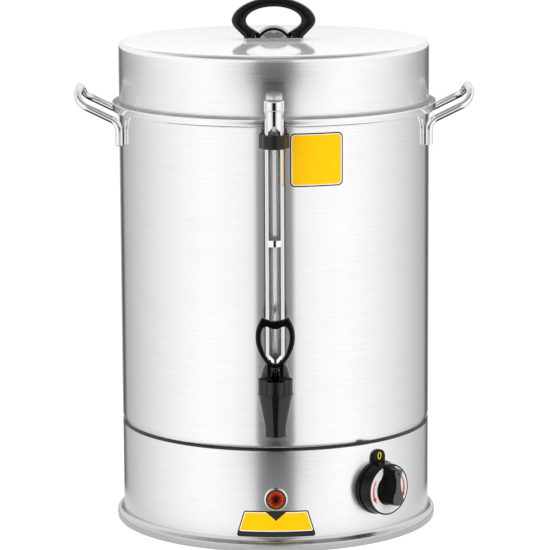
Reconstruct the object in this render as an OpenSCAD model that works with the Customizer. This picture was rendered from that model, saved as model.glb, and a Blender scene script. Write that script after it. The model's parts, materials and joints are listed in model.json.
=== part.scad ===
// Hot milk dispenser: a lidded urn with a water jacket, a spring tap and a level gauge.
// Millimetres, +Z up, front towards -Y, origin on the axis at the floor.

/* [Tank] */
// Outer diameter of the tank
body_d = 330; // [300:1:370]
// Height of the tank from its floor to the step of its rim
body_h = 345.5; // [300:0.5:420]
// Thickness of the stainless sheet
sheet = 1; // [0.8:0.1:1.4]
// Radius of the tank's rounded bottom edge
body_edge_r = 20; // [16:1:24]
// How far the rim steps out
rim_out = 7.5; // [6:0.5:10]
// Height of the rim from its step to its lip
rim_up = 8.5; // [6:0.5:12]
// Gap between the tank wall and the milk pot
pot_gap = 14; // [12:0.5:18]
// Height of the milk pot's floor above the tank floor
pot_rise = 44; // [40:1:60]
// Radius of the milk pot's bottom edge
pot_edge_r = 6; // [3:0.5:8]
// Diameter of the filler plug's head
plug_d = 11; // [9:0.5:12]

/* [Base] */
// Height of the base
base_h = 106; // [104:1:130]
// How far the tank sinks into the base
tank_sink = 9; // [6:0.5:10]
// Height of the seal's lip between tank and base
seal_lip = 1.8; // [1.6:0.2:4]
// How far the base wall lies inside the tank wall
base_inset = 0.3; // [0:0.1:1]
// How far the foot stands out from the base wall
foot_out = 6.8; // [6:0.1:10]
// Height of the foot's upright edge
foot_h = 8.5; // [7:0.5:12]
// Radius of the flare above the foot
flare_r = 5.5; // [3:0.5:6]
// Width of the hem that rests on the table
hem_w = 16; // [14:1:20]
// Width of the shelf that carries the tank
shelf_w = 44; // [40:1:50]
// Depth of the shelf's skirt
shelf_h = 14; // [10:1:16]
// Thickness of the shelf and of the brackets
shelf_t = 1.5; // [1:0.1:2]
// Height of the bottom plate above the table
plate_z = 5; // [4:0.5:7]
// Width of a bottom plate bracket
bracket_w = 20; // [16:1:26]
// Height of a bottom plate bracket
bracket_h = 30; // [26:1:40]
// Diameter of the cord gland's thread
gland_d = 16; // [14:0.5:20]
// Diameter of the cord that the gland takes
cord_d = 9; // [7:0.5:10]

/* [Lid] */
// Height of the lid
lid_h = 70.2; // [50:0.2:90]
// Radius of the lid's top edge
lid_edge_r = 7; // [4:0.5:12]
// Depth of the lid's locating ring
lid_ring_h = 17; // [14:1:24]
// Width of the loop knob
loop_w = 89; // [80:1:100]
// Height of the loop knob
loop_h = 45; // [40:1:60]
// Depth of the loop knob at its feet
loop_depth = 22; // [16:1:26]
// Width of the loop knob's foot plate
loop_foot_w = 63.4; // [60:0.2:70]
// Thickness of the loop knob's foot plate
loop_foot_t = 3.5; // [3:0.5:6]
// Diameter of the dome between the knob's feet
dome_d = 39; // [34:0.5:40]
// Height of the dome
dome_h = 12; // [8:0.5:16]

/* [Handles] */
// Diameter of the handle rod
rod_d = 8; // [6:0.5:10]
// Distance between the legs of a handle
handle_w = 90; // [70:1:110]
// How far below the rim a handle's foot ends
handle_drop = 34.5; // [30:0.5:45]
// Length of a leg's welded foot
handle_foot = 16; // [12:1:20]
// Radius of the bend away from the wall
bend_in_r = 14; // [12:1:18]
// Slope of the handle's arms
arm_slope = 26; // [15:1:35]
// Length of the arms between the bends
arm_run = 30; // [26:1:40]
// Radius of the bend up to the grip
bend_out_r = 16; // [12:1:20]
// Slope of the handle at its grip
grip_slope = 70; // [60:1:80]
// Length of the arms above the upper bend
grip_run = 4.5; // [3:0.5:8]
// Radius of the corners at the ends of the grip
corner_r = 21; // [16:1:25]

/* [Tap] */
// Height of the tap's shank above the pot floor
shank_rise = 22; // [20:0.5:30]
// Diameter of the shank's thread
shank_d = 20; // [18:0.5:22]
// Diameter of the milk passage
passage_d = 13; // [9:0.5:14]
// Distance from the gauge axis to the spout axis
tap_reach = 34; // [34:0.5:40]
// Diameter of the spout's outlet
outlet_d = 22; // [20:0.5:26]
// Bore of the spout's outlet
outlet_bore = 14; // [10:0.5:15]
// Diameter of the tap body below the nut
cone_d = 35; // [33:0.5:37]
// Length of the outlet's straight end
outlet_run = 11; // [6:0.5:16]
// Height of the tap body's cone
cone_h = 31; // [28:0.5:36]
// Diameter of the bonnet nut
nut_d = 35.3; // [34:0.1:37]
// Height of the bonnet nut
nut_h = 13.4; // [13:0.1:16]
// Flutes round the bonnet nut
flutes = 18; // [12:1:24]
// Diameter of the plunger's stem
stem_d = 7; // [5:0.5:7.5]
// Lift of the plunger for a radian of lever travel
lift_rate = 7; // [5:0.5:7.5]
// Height of the lever pin above the bonnet
pin_rise = 9; // [8:0.5:12]
// Diameter of the lever pin
pin_d = 3; // [2.5:0.5:3.5]
// Largest pull of the lever
lever_pull = 40; // [30:1:45]
// Width of the lever's fork
fork_w = 16.5; // [15:0.5:18]
// Slot of the lever's fork
fork_slot = 8.5; // [8.2:0.1:9]
// Width of the lever's loop
lever_w = 40; // [34:1:46]
// Height of the lever's horns above its pin
lever_h = 56.5; // [50:0.5:64]
// Depth of the lever's loop
lever_depth = 7; // [6:0.5:9]
// Turns of the plunger spring
spring_turns = 5; // [4:1:7]
// Wire of the plunger spring
spring_wire = 1.2; // [0.8:0.1:1.4]

/* [Gauge] */
// Diameter of the gauge guard
guard_d = 19; // [18:0.5:21]
// Wall of the gauge guard
guard_t = 1; // [0.8:0.1:1.2]
// Width of the guard's slot
slot_w = 12.5; // [10:0.5:14]
// Height of the bridge across the slot
bridge_h = 6.6; // [4:0.2:10]
// How far the gauge stands above the rim
gauge_up = 29.5; // [20:0.5:40]
// Diameter of the glass
glass_d = 12; // [10:0.5:13]
// Bore of the glass
glass_bore = 9; // [7:0.5:9]
// Height of the clip
clip_h = 14; // [10:0.5:18]
// Width of the clip
clip_w = 30.8; // [28:0.2:36]
// Diameter of the gauge gland nut
gauge_nut_d = 30.6; // [29:0.2:32]

/* [Controls] */
// Height of the heat knob
dial_z = 58.7; // [56:0.1:60]
// Angle of the heat knob to the right of the front
dial_angle = 40; // [35:1:50]
// Diameter of the dial plate
dial_plate_d = 57; // [56:1:64]
// Thickness of the dial plate
dial_plate_t = 3.5; // [3.5:0.5:6]
// Width of the dial plate's tab
tab_w = 16; // [14:0.5:22]
// Height of the tab's top above the knob's axis
tab_up = 40.3; // [38:0.1:44]
// Diameter of the heat knob
knob_d = 55; // [50:1:57]
// Depth of the heat knob's skirt
knob_depth = 14.5; // [12:0.5:16]
// Height of the knob's grip
grip_h = 15; // [8:0.5:18]
// Length of the knob's grip
grip_len = 42; // [36:1:43]
// Outer diameter of the dial ring
dial_ring_d = 50.5; // [46:0.5:53]
// Inner diameter of the dial ring
dial_ring_bore = 33; // [32:0.5:38]
// Diameter of the thermostat's spindle
spindle_d = 6; // [5:0.5:7]
// Height of the pilot lamp
lamp_z = 55.2; // [50:0.2:65]
// Diameter of the lamp's bezel
lamp_d = 24; // [22:0.5:28]
// Diameter of the lamp's lens
lens_d = 17.6; // [14:0.2:18]

/* [Hidden] */
$fn = 96;

// Clearances and cuts
run_gap = 0.3;      // between pieces that move past each other
hinge_gap = 0.05;   // between a pin and its hole
hole_gap = 0.25;    // round a screw, stud or tube in its hole
slide_fit = 0.4;    // between a dropped-in piece and its frame
seal_fit = 0.1;     // between a rubber seal and the walls it lies on
over = 1;           // overshoot of a cut

// Tank and base
body_r = body_d / 2;
body_in_r = body_r - sheet;
floor_z = base_h - tank_sink;
floor_top = floor_z + sheet;
rim_z = floor_z + body_h;
ledge_z = rim_z + sheet;
lip_in_r = body_r + rim_out - sheet;
pot_r = body_in_r - pot_gap;
pot_in_r = pot_r - sheet;
pot_z = floor_top + pot_rise;
base_r = body_r - base_inset;
base_in_r = base_r - sheet;
foot_r = base_r + foot_out;
shelf_in_r = base_in_r - shelf_w;
stud_r = shelf_in_r + 12;
stud_d = 6;
stud_h = 16;
stud_nut = [10, 5];
stud_angles = [for (i = [0 : 3]) dial_angle - 45 + 90 * i];
bracket_angles = [20 : 90 : 290];
plate_r = foot_r - hem_w - 1.5;
plate_lip = 3;
screw_r = plate_r - 7;
screw_d = 4;
screw_head = [7.5, 2.4];
screw_run = 8;
plug_r = (pot_r + body_in_r) / 2;
plug_angle = 150;
plug_hole_d = plug_d - 3;

// Lid
lid_gap = run_gap;
lid_z = ledge_z + sheet + lid_gap;
lid_top = lid_z + lid_h;
lid_r = body_r - base_inset;
lid_in_r = lid_r - sheet;
lid_ring_r = pot_in_r - 0.5;
lid_ring_top = lid_z + 8;
knob_stud_d = 8;
knob_nut_size = [13, 6.5];
knob_washer_size = [24, 1.6];
loop_plate_d = dome_d + 3;

// Tap and gauge
lip_clear = 2;
gauge_y = -(body_r + rim_out + lip_clear + guard_d / 2);
tap_y = gauge_y - tap_reach;
shank_z = pot_z + sheet + shank_rise;
washer_t = 3;
flange_d = 33;
flange_t = 5;
flange_y = -(body_r + washer_t);
shank_nut_size = [28, 8];
shank_end = 3;
inner_face_y = -(pot_in_r - 4.5);
arm_d = 26;
boss_d = 22;
spout_low = shank_z - 19 - outlet_run;
cone_low = spout_low + outlet_run;
cone_top = cone_low + cone_h;
bead_h = 2.6;
nut_z = cone_top + bead_h;
neck_d = 28;
neck_top = nut_z + 8.4;
bonnet_lip = 1.5;
nut_lip_z = neck_top + bonnet_lip;
plateau_z = nut_lip_z + 1.7;
plateau_d = 24.4;
seat_z = shank_z - passage_d / 2 - 0.5;
chamber_d = 22;
cup_d = 19;
cup_h = 7.7;
cup_z = seat_z + run_gap;
cup_top = cup_z + cup_h;
spring_r = 6.5;
spring_gap = 0.2;
spring_z0 = cup_top + spring_gap;
spring_z1 = neck_top - spring_gap;
guide_d = stem_d + 2 * run_gap + 2.4;
pin_z = plateau_z + run_gap + pin_rise;
gauge_nut_z = shank_z + 17;
gauge_nut_h = 21;
boss_top = gauge_nut_z + 8;
glass_sink = 6;
seal_h = 3;
guard_z = boss_top + seal_h;
gauge_top = rim_z + gauge_up;
cap_h = 10.5;
cap_t = 1.8;
guard_top = gauge_top - cap_t;
glass_top = guard_top - 4;
lip_h = 2;
lip_d = guard_d + 1.8;
slot_low = guard_z + 20;
slot_high = rim_z - 1.5;
slot_point = 6.5;
bridge_drop = 118.5;
bridge_z = rim_z - bridge_drop;
clip_z = rim_z - 19;
clip_back_w = clip_w - 5;

// Controls, places in the base
dial_hole_d = spindle_d + 5;
dial_screw_x = 14;
dial_screw_bite = 9;
lens_in = 4;
lamp_body_d = lens_d - 2;
lamp_run = 24;
lamp_tab = [1, 5, 8];
lamp_tab_x = 4;
gland_z = 40;
thermo_size = [38, 38, 28];
thermo_plate = [52, 22, 5];
spindle_in = 15.5;
bulb_d = 6.4;
bulb_reach = 78;
bulb_below = 9;
element_r = 95;
element_d = 8.5;
element_gap = 14;
element_bend_r = 9;
element_z = floor_top + 18;
element_end = 14;
element_stud = 8;
limiter_at = [48, 38];
limiter_size = [24, 9];
limiter_tab = [6, 0.8, 8];
limiter_tab_x = 7;
block_in = 55.7;
block_at = [0, base_in_r - block_in];
block_size = [50, 18, 16];
block_poles = 4;
block_pitch = block_size[0] / block_poles;

// Heading vector at an angle in a plane
function heading(a) = [cos(a), sin(a)];
function unit(v) = v / norm(v);

// Points on a cubic curve, its end point left out
function bezier(a, b, c, d, n) = [
    for (i = [0 : n - 1])
        let (t = i / n, s = 1 - t)
            s * s * s * a + 3 * s * s * t * b + 3 * s * t * t * c + t * t * t * d
];

// Points along a smooth line through chosen points
function smooth(p, n) = concat([
    for (i = [0 : len(p) - 2], k = [0 : n - 1])
        let (
            a = p[i], b = p[i + 1], t = k / n, s = 1 - t,
            leave = unit(b - p[max(i - 1, 0)]) * norm(b - a),
            arrive = unit(p[min(i + 2, len(p) - 1)] - a) * norm(b - a)
        )
        s * s * (1 + 2 * t) * a + t * t * (3 - 2 * t) * b + s * s * t * leave - s * t * t * arrive
], [p[len(p) - 1]]);

// Round rings across a line, one at each of its points
function rings_along(p, r, sides, up) = [
    for (i = [0 : len(p) - 1])
        let (
            t = unit(p[min(i + 1, len(p) - 1)] - p[max(i - 1, 0)]),
            n = unit(cross(up, t)),
            b = cross(t, n)
        )
        [for (j = [0 : sides - 1]) p[i] + r * (cos(360 * j / sides) * n + sin(360 * j / sides) * b)]
];

// Solid through a row of rings that all have as many points
module skin(rings, closed = false) {
    m = len(rings);
    s = len(rings[0]);
    spans = closed ? m - 1 : m - 2;
    sides = [
        for (i = [0 : spans], j = [0 : s - 1])
            let (k = (i + 1) % m, l = (j + 1) % s)
                each [[i * s + j, k * s + l, i * s + l], [i * s + j, k * s + j, k * s + l]]
    ];
    last = (m - 1) * s;
    ends = closed ? [] : [
        for (j = [1 : s - 2]) each [[0, j, j + 1], [last, last + j + 1, last + j]]
    ];
    polyhedron([for (r = rings) each r], concat(sides, ends));
}

// Band with a round-edged section between an outer and an inner outline in the XZ plane
module band(outer, inner, depths, closed = false) {
    sides = 14;
    bulge = 0.7;
    skin([
        for (i = [0 : len(outer) - 1])
            let (c = (outer[i] + inner[i]) / 2, a = (outer[i] - inner[i]) / 2, h = depths[i] / 2)
                [for (j = [0 : sides - 1])
                    let (
                        u = cos(360 * j / sides), v = sin(360 * j / sides),
                        w = sign(u) * pow(abs(u), bulge), y = sign(v) * pow(abs(v), bulge)
                    )
                    [c[0] + a[0] * w, h * y, c[1] + a[1] * w]]
    ], closed);
}

// Half section of a sheet cup with a rounded bottom edge
module cup_section(r, z0, z1, edge_r, t) {
    translate([0, z0]) square([r - edge_r, t]);
    translate([r - edge_r, z0 + edge_r]) intersection() {
        difference() {
            circle(edge_r);
            circle(edge_r - t);
        }
        translate([0, -edge_r]) square(edge_r);
    }
    translate([r - t, z0 + edge_r]) square([t, z1 - z0 - edge_r]);
}

// Round tube standing on the XY plane
module tube(d, bore, h) {
    difference() {
        cylinder(d = d, h = h);
        translate([0, 0, -over]) cylinder(d = bore, h = h + 2 * over);
    }
}

// Hexagon nut standing on the XY plane, size = [width across flats, height]
module hex_nut(size, bore) {
    difference() {
        cylinder(d = size[0] / cos(30), h = size[1], $fn = 6);
        translate([0, 0, -over]) cylinder(d = bore, h = size[1] + 2 * over);
    }
}

// Places children on a round wall: their +Z points outwards and their +Y up
module on_wall(angle, z, r) {
    rotate([0, 0, angle]) translate([0, -r, z]) rotate([90, 0, 0]) children();
}

// Lays children along +Y from a point on the front, their +Z towards the tank axis
module inwards(y, z) {
    translate([0, y, z]) rotate([-90, 0, 0]) children();
}

// Copies children to angles round the axis
module around(angles, r) {
    for (a = angles) rotate([0, 0, a]) translate([r, 0, 0]) children();
}

// Upright cylinder about the axis, fine enough to cut a thin saddle
module core(r) {
    cylinder(r = r, h = lid_top, $fn = 720);
}

// Base

module base_shell() {
    color("silver") difference() {
        rotate_extrude() {
            translate([base_in_r, foot_h + flare_r]) square([sheet, base_h - foot_h - flare_r]);
            translate([base_r + flare_r, foot_h + flare_r]) intersection() {
                difference() {
                    circle(flare_r + sheet);
                    circle(flare_r);
                }
                translate([-flare_r - sheet, -flare_r - sheet]) square(flare_r + sheet);
            }
            translate([base_r + flare_r, foot_h - sheet]) square([foot_out - flare_r, sheet]);
            translate([foot_r - sheet, 0]) square([sheet, foot_h]);
            translate([foot_r - hem_w, 0]) square([hem_w, sheet]);
        }
        on_wall(0, lamp_z, base_r) cylinder(d = lens_d + 2 * hole_gap, h = 6 * sheet, center = true);
        on_wall(180, gland_z, base_r) cylinder(d = gland_d + 2 * hole_gap, h = 6 * sheet, center = true);
        on_wall(dial_angle, dial_z, base_r) {
            cylinder(d = dial_hole_d, h = 6 * sheet, center = true);
            for (x = [-dial_screw_x, dial_screw_x])
                translate([x, 0, 0]) cylinder(d = screw_d + 2 * hole_gap, h = 10 * sheet, center = true);
        }
    }
}

module base_plate() {
    color("gainsboro") difference() {
        union() {
            translate([0, 0, plate_z]) cylinder(r = plate_r, h = sheet);
            translate([0, 0, plate_z - plate_lip])
                tube(2 * plate_r, 2 * (plate_r - sheet), plate_lip + sheet);
        }
        around(bracket_angles, screw_r) cylinder(d = screw_d + 2 * hole_gap, h = plate_z + 2 * sheet);
    }
}

module plate_brackets() {
    tab_in_r = screw_r - 6;
    color("darkgray") for (a = bracket_angles) rotate([0, 0, a]) difference() {
        intersection() {
            translate([tab_in_r, -bracket_w / 2, plate_z + sheet])
                cube([base_in_r - tab_in_r, bracket_w, bracket_h]);
            core(base_in_r);
            union() {
                core_low(plate_z + sheet + shelf_t);
                difference() {
                    core(base_in_r);
                    core(base_in_r - shelf_t);
                }
            }
        }
        translate([screw_r, 0, 0]) cylinder(d = screw_d, h = base_h);
    }
}

// Everything near the axis below a height
module core_low(z) {
    cylinder(r = body_r, h = z);
}

module plate_screws() {
    color("dimgray") around(bracket_angles, screw_r) {
        translate([0, 0, plate_z - screw_head[1]]) cylinder(d = screw_head[0], h = screw_head[1]);
        translate([0, 0, plate_z - screw_head[1]]) cylinder(d = screw_d, h = screw_head[1] + screw_run);
    }
}

module tank_shelf() {
    color("lightgray") difference() {
        rotate_extrude() {
            translate([shelf_in_r, floor_z - shelf_t]) square([shelf_w, shelf_t]);
            translate([base_in_r - shelf_t, floor_z - shelf_h]) square([shelf_t, shelf_h]);
        }
        around(stud_angles, stud_r) core_hole(stud_d + 2 * hole_gap);
    }
}

// Upright hole right through the tank floor and the shelf
module core_hole(d) {
    translate([0, 0, floor_z - shelf_h - over]) cylinder(d = d, h = shelf_h + 4 * sheet + 2 * over);
}

module shelf_studs() {
    color("silver") around(stud_angles, stud_r)
        translate([0, 0, floor_z - stud_h]) cylinder(d = stud_d, h = stud_h);
}

module shelf_nuts() {
    color("gray") around(stud_angles, stud_r)
        translate([0, 0, floor_z - shelf_t - stud_nut[1]]) hex_nut(stud_nut, stud_d);
}

// Rubber ring in the groove between the tank's rounded edge and the base, with a lip over the base's edge
module base_seal() {
    stem_h = 4;
    stem_w = 6;
    nose_r = 0.6;
    color("black") rotate_extrude() difference() {
        translate([base_in_r - stem_w, base_h]) {
            translate([0, -stem_h]) square([stem_w - seal_fit, stem_h + seal_lip]);
            square([stem_w + sheet, seal_lip - nose_r]);
            square([stem_w + sheet - nose_r, seal_lip]);
            translate([stem_w + sheet - nose_r, seal_lip - nose_r]) circle(nose_r);
        }
        translate([body_r - body_edge_r, floor_z + body_edge_r]) circle(body_edge_r + seal_fit);
    }
}

// Tank

module body_shell() {
    color("silver") difference() {
        rotate_extrude() {
            cup_section(body_r, floor_z, ledge_z, body_edge_r, sheet);
            translate([body_in_r, rim_z]) square([rim_out + sheet, sheet]);
            translate([lip_in_r, rim_z]) square([sheet, rim_up]);
        }
        on_wall(0, shank_z, body_r) cylinder(d = shank_d + 2 * hole_gap, h = 6 * sheet, center = true);
        on_wall(0, clip_z + clip_h / 2, body_r)
            cylinder(d = screw_d + 2 * hole_gap, h = 6 * sheet, center = true);
        for (s = [-1, 1]) element_leg(s) core_hole(element_d + 2 * hole_gap);
        bulb_place() core_hole(bulb_d + 2 * hole_gap);
    }
}

module inner_pot() {
    color("gainsboro") difference() {
        rotate_extrude() {
            cup_section(pot_r, pot_z, ledge_z + sheet, pot_edge_r, sheet);
            translate([pot_in_r, ledge_z]) square([lip_in_r - slide_fit - pot_in_r, sheet]);
        }
        on_wall(0, shank_z, pot_r) cylinder(d = shank_d + 2 * hole_gap, h = 6 * sheet, center = true);
        filler_place() cylinder(d = plug_hole_d, h = 6 * sheet, center = true);
    }
}

// Place of the filler plug on top of the pot's flange
module filler_place() {
    rotate([0, 0, plug_angle]) translate([plug_r, 0, ledge_z + sheet]) children();
}

module filler_plug() {
    head_h = 2.5;
    shank_h = 7;
    color("dimgray") filler_place() {
        rotate_extrude() {
            square([plug_d / 2 - 1, head_h]);
            square([plug_d / 2, head_h - 1]);
            translate([plug_d / 2 - 1, head_h - 1]) circle(1);
        }
        translate([0, 0, -shank_h]) cylinder(d = plug_hole_d, h = shank_h);
    }
}

// Side of a handle: distance from the axis, height and slope at a run from its foot
handle_x = sqrt(pow(body_r + rod_d / 2 + 0.1, 2) - pow(handle_w / 2, 2));
bend_in = bend_in_r * (90 - arm_slope) * PI / 180;
bend_out = bend_out_r * (grip_slope - arm_slope) * PI / 180;
bend_in_end = handle_foot + bend_in;
arm_end = bend_in_end + arm_run;
bend_out_end = arm_end + bend_out;
handle_run = bend_out_end + grip_run;
bend_in_c = [handle_x + bend_in_r, rim_z - handle_drop + handle_foot];
arm_from = bend_in_c + bend_in_r * heading(arm_slope + 90);
arm_to = arm_from + arm_run * heading(arm_slope);
bend_out_c = arm_to + bend_out_r * heading(arm_slope + 90);
grip_from = bend_out_c + bend_out_r * heading(grip_slope - 90);

function side_slope(t) =
    t < handle_foot ? 90
    : t < bend_in_end ? 90 - (t - handle_foot) / bend_in_r * 180 / PI
    : t < arm_end ? arm_slope
    : t < bend_out_end ? arm_slope + (t - arm_end) / bend_out_r * 180 / PI
    : grip_slope;

function side_point(t) =
    t < handle_foot ? [handle_x, rim_z - handle_drop + t]
    : t < bend_in_end ? bend_in_c + bend_in_r * heading(side_slope(t) + 90)
    : t < arm_end ? arm_from + (t - bend_in_end) * heading(arm_slope)
    : t < bend_out_end ? bend_out_c + bend_out_r * heading(side_slope(t) - 90)
    : grip_from + (t - bend_out_end) * heading(grip_slope);

// Half of a handle's line as [run, distance from the middle], from its foot to the middle of the grip
bend_steps = 8;
corner_at = handle_run - corner_r;
half_line = concat(
    [for (t = [0, handle_foot / 2]) [t, handle_w / 2]],
    [for (i = [0 : bend_steps]) [handle_foot + bend_in * i / bend_steps, handle_w / 2]],
    [[(bend_in_end + corner_at) / 2, handle_w / 2]],
    [for (i = [0 : bend_steps])
        let (a = 90 * i / bend_steps)
            [corner_at + corner_r * sin(a), handle_w / 2 - corner_r * (1 - cos(a))]]
);
handle_line = concat(
    half_line,
    [for (i = [len(half_line) - 1 : -1 : 0]) [half_line[i][0], -half_line[i][1]]]
);
handle_path = [for (p = handle_line) let (s = side_point(p[0])) [s[0], p[1], s[1]]];

module handle() {
    sides = 12;
    last = len(handle_path) - 1;
    skin([
        for (i = [0 : last])
            let (
                t = unit(handle_path[min(i + 1, last)] - handle_path[max(i - 1, 0)]),
                a = side_slope(handle_line[i][0]) + 90,
                n = [cos(a), 0, sin(a)],
                b = cross(t, n)
            )
            [for (j = [0 : sides - 1])
                handle_path[i] + rod_d / 2 * (cos(360 * j / sides) * n + sin(360 * j / sides) * b)]
    ]);
}

module handle_right() {
    color("whitesmoke") handle();
}

module handle_left() {
    color("whitesmoke") rotate([0, 0, 180]) handle();
}

// Tap

module tap_body() {
    arm_run_y = flange_y - tap_y;
    shank_run = inner_face_y + shank_nut_size[1] + shank_end - flange_y;
    color("dimgray") difference() {
        union() {
            translate([0, tap_y, 0]) rotate_extrude() {
                polygon([
                    [0, spout_low], [outlet_d / 2, spout_low], [outlet_d / 2, cone_low],
                    [outlet_d / 2 + 0.4, cone_low], [cone_d / 2, cone_top], [0, cone_top]
                ]);
                translate([0, cone_top]) square([cone_d / 2 - 0.5, bead_h]);
                translate([cone_d / 2 - 0.5, cone_top + bead_h / 2]) circle(bead_h / 2);
                translate([0, nut_z]) square([neck_d / 2, neck_top - nut_z]);
            }
            inwards(tap_y, shank_z) cylinder(d = arm_d, h = arm_run_y);
            inwards(flange_y - flange_t, shank_z) cylinder(d = flange_d, h = flange_t);
            inwards(flange_y, shank_z) cylinder(d = shank_d, h = shank_run);
            translate([0, gauge_y, shank_z]) cylinder(d = boss_d, h = boss_top - shank_z);
        }
        translate([0, tap_y, spout_low - over]) cylinder(d = outlet_bore, h = seat_z - spout_low + 2 * over);
        translate([0, tap_y, seat_z]) cylinder(d = chamber_d, h = neck_top - seat_z + over);
        inwards(tap_y, shank_z) cylinder(d = passage_d, h = arm_run_y + shank_run + over);
        translate([0, gauge_y, shank_z]) cylinder(d = glass_bore, h = boss_top - shank_z);
        translate([0, gauge_y, boss_top - glass_sink])
            cylinder(d = glass_d + 2 * hinge_gap, h = glass_sink + over);
    }
}

module outer_washer() {
    color("black") difference() {
        inwards(flange_y, shank_z) tube(flange_d + 1, shank_d + 2 * hole_gap, body_r);
        core(body_r);
        translate([0, body_r, 0]) cube([body_d, body_d, 2 * lid_top], center = true);
    }
}

module shank_sleeve() {
    color("silver") intersection() {
        inwards(-body_r, shank_z) tube(shank_d + 9, shank_d + 2 * hole_gap, body_r - pot_in_r + over);
        difference() {
            core(body_in_r);
            core(pot_r);
        }
    }
}

module inner_washer() {
    color("black") intersection() {
        inwards(-body_r, shank_z) tube(flange_d - 2, shank_d + 2 * hole_gap, body_r + inner_face_y);
        core(pot_in_r);
    }
}

module shank_nut() {
    color("silver") inwards(inner_face_y, shank_z) rotate([0, 0, 30]) hex_nut(shank_nut_size, shank_d);
}

module bonnet() {
    color("dimgray") translate([0, tap_y, 0]) difference() {
        union() {
            translate([0, 0, neck_top]) cylinder(d = neck_d - 0.4, h = bonnet_lip);
            translate([0, 0, neck_top]) cylinder(d = plateau_d, h = plateau_z - neck_top);
            translate([0, 0, neck_top - cup_h]) cylinder(d = guide_d, h = cup_h + over);
        }
        translate([0, 0, cup_z]) cylinder(d = stem_d + 2 * run_gap, h = plateau_z);
    }
}

module bonnet_nut() {
    lip_t = 1.5;
    flute_d = 2.4;
    rim_t = 1.8;
    color("dimgray") translate([0, tap_y, nut_z]) difference() {
        linear_extrude(nut_h) difference() {
            circle(d = nut_d);
            for (i = [1 : flutes]) rotate(360 * i / flutes)
                translate([nut_d / 2 + flute_d / 4, 0]) circle(d = flute_d, $fn = 24);
        }
        translate([0, 0, -over]) cylinder(d = neck_d, h = nut_lip_z - nut_z + over);
        cylinder(d = plateau_d + 0.6, h = nut_h + over);
        translate([0, 0, nut_lip_z - nut_z + lip_t]) cylinder(d = nut_d - 2 * rim_t, h = nut_h);
    }
}

module plunger_stem() {
    color("dimgray") translate([0, tap_y, 0]) difference() {
        union() {
            translate([0, 0, cup_z + 2.5]) cylinder(d = stem_d, h = pin_z - cup_z - 2.5);
            translate([0, 0, pin_z]) sphere(d = stem_d);
        }
        translate([0, 0, pin_z]) rotate([0, 90, 0]) cylinder(d = pin_d, h = 2 * stem_d, center = true);
    }
}

module seat_cup() {
    color("black") translate([0, tap_y, cup_z]) difference() {
        rotate_extrude() {
            square([cup_d / 2, cup_h / 2]);
            square([cup_d / 2 - 1.5, cup_h]);
            translate([cup_d / 2 - 1.5, cup_h / 2]) circle(1.5);
        }
        translate([0, 0, 2.5]) cylinder(d = stem_d, h = cup_h);
        translate([0, 0, -over]) cylinder(d1 = outlet_bore - 4, d2 = stem_d - 2, h = 2.5 + over);
    }
}

module lever_pin() {
    color("silver") translate([0, tap_y, pin_z]) rotate([0, 90, 0])
        cylinder(d = pin_d, h = fork_w - 1, center = true);
}

// The spring's line: close at its ends and even between them
spring_steps = 8 * spring_turns;
spring_line = [
    for (i = [0 : spring_steps])
        let (a = 360 * i * spring_turns / spring_steps, wire = spring_wire / 2)
            [spring_r * cos(a), tap_y + spring_r * sin(a),
                spring_z0 + wire + (spring_z1 - spring_z0 - spring_wire) * i / spring_steps]
];
echo(spring_gap = (spring_z1 - spring_z0 - spring_wire) / spring_turns - spring_wire);

module plunger_spring() {
    color("silver") skin(rings_along(spring_line, spring_wire / 2, 6, [0, 0, 1]));
}

// Underside of the lever's fork: it lifts the pin evenly as the lever turns
function cam_point(a) =
    (pin_rise + lift_rate * a * PI / 180) * [-sin(a), -cos(a)] + lift_rate * [-cos(a), sin(a)];

module tap_lever() {
    cam_end = lever_pull + 2;
    cam_steps = 14;
    cheek_t = (fork_w - fork_slot) / 2;
    cheek_top = 12;
    shoulder = 4;
    loop_low = stem_d / 2 + 0.7;
    bar = 5.8;
    low_bar = 4.4;
    n = 7;
    half = lever_w / 2;
    waist = lever_h - 21;
    horn = half - 6.5;
    outer_half = concat(
        bezier([0, loop_low], [0.45 * half, loop_low], [half, waist - 14], [half, waist], n),
        bezier([half, waist], [half, waist + 9.5], [half - 2.5, lever_h - 6], [horn, lever_h], n),
        bezier([horn, lever_h], [horn - 4, lever_h - 2], [5, lever_h - 4], [0, lever_h - 4], n)
    );
    inner_half = concat(
        bezier([0, loop_low + low_bar], [6.5, loop_low + low_bar], [half - bar, waist - 12],
            [half - bar, waist], n),
        bezier([half - bar, waist], [half - bar, waist + 6], [horn - 0.5, waist + 9.5],
            [horn - 3, waist + 11], n),
        bezier([horn - 3, waist + 11], [horn - 6, waist + 12.5], [6, waist + 8.7], [0, waist + 8.7], n)
    );
    both = function (h, end) concat(h, [end], [for (i = [len(h) - 1 : -1 : 1]) [-h[i][0], h[i][1]]]);
    outer = both(outer_half, [0, lever_h - 4]);
    inner = both(inner_half, [0, waist + 8.7]);
    color("black") translate([0, tap_y, pin_z]) {
        band(outer, inner, [for (p = outer) lever_depth], true);
        difference() {
            for (x = [-fork_w / 2, fork_slot / 2]) translate([x, 0, 0]) rotate([90, 0, 90])
                linear_extrude(cheek_t) polygon(concat(
                    [[lift_rate, -pin_rise]],
                    [for (i = [0 : cam_steps]) cam_point(cam_end * i / cam_steps)],
                    [[-lever_depth / 2 - 1.5, shoulder], [-lever_depth / 2 + 0.8, cheek_top],
                        [lever_depth / 2 - 0.8, cheek_top], [lever_depth / 2 + 1.5, shoulder]]
                ));
            rotate([0, 90, 0]) cylinder(d = pin_d + 2 * hinge_gap, h = 2 * fork_w, center = true);
        }
    }
}

// Gauge

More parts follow.
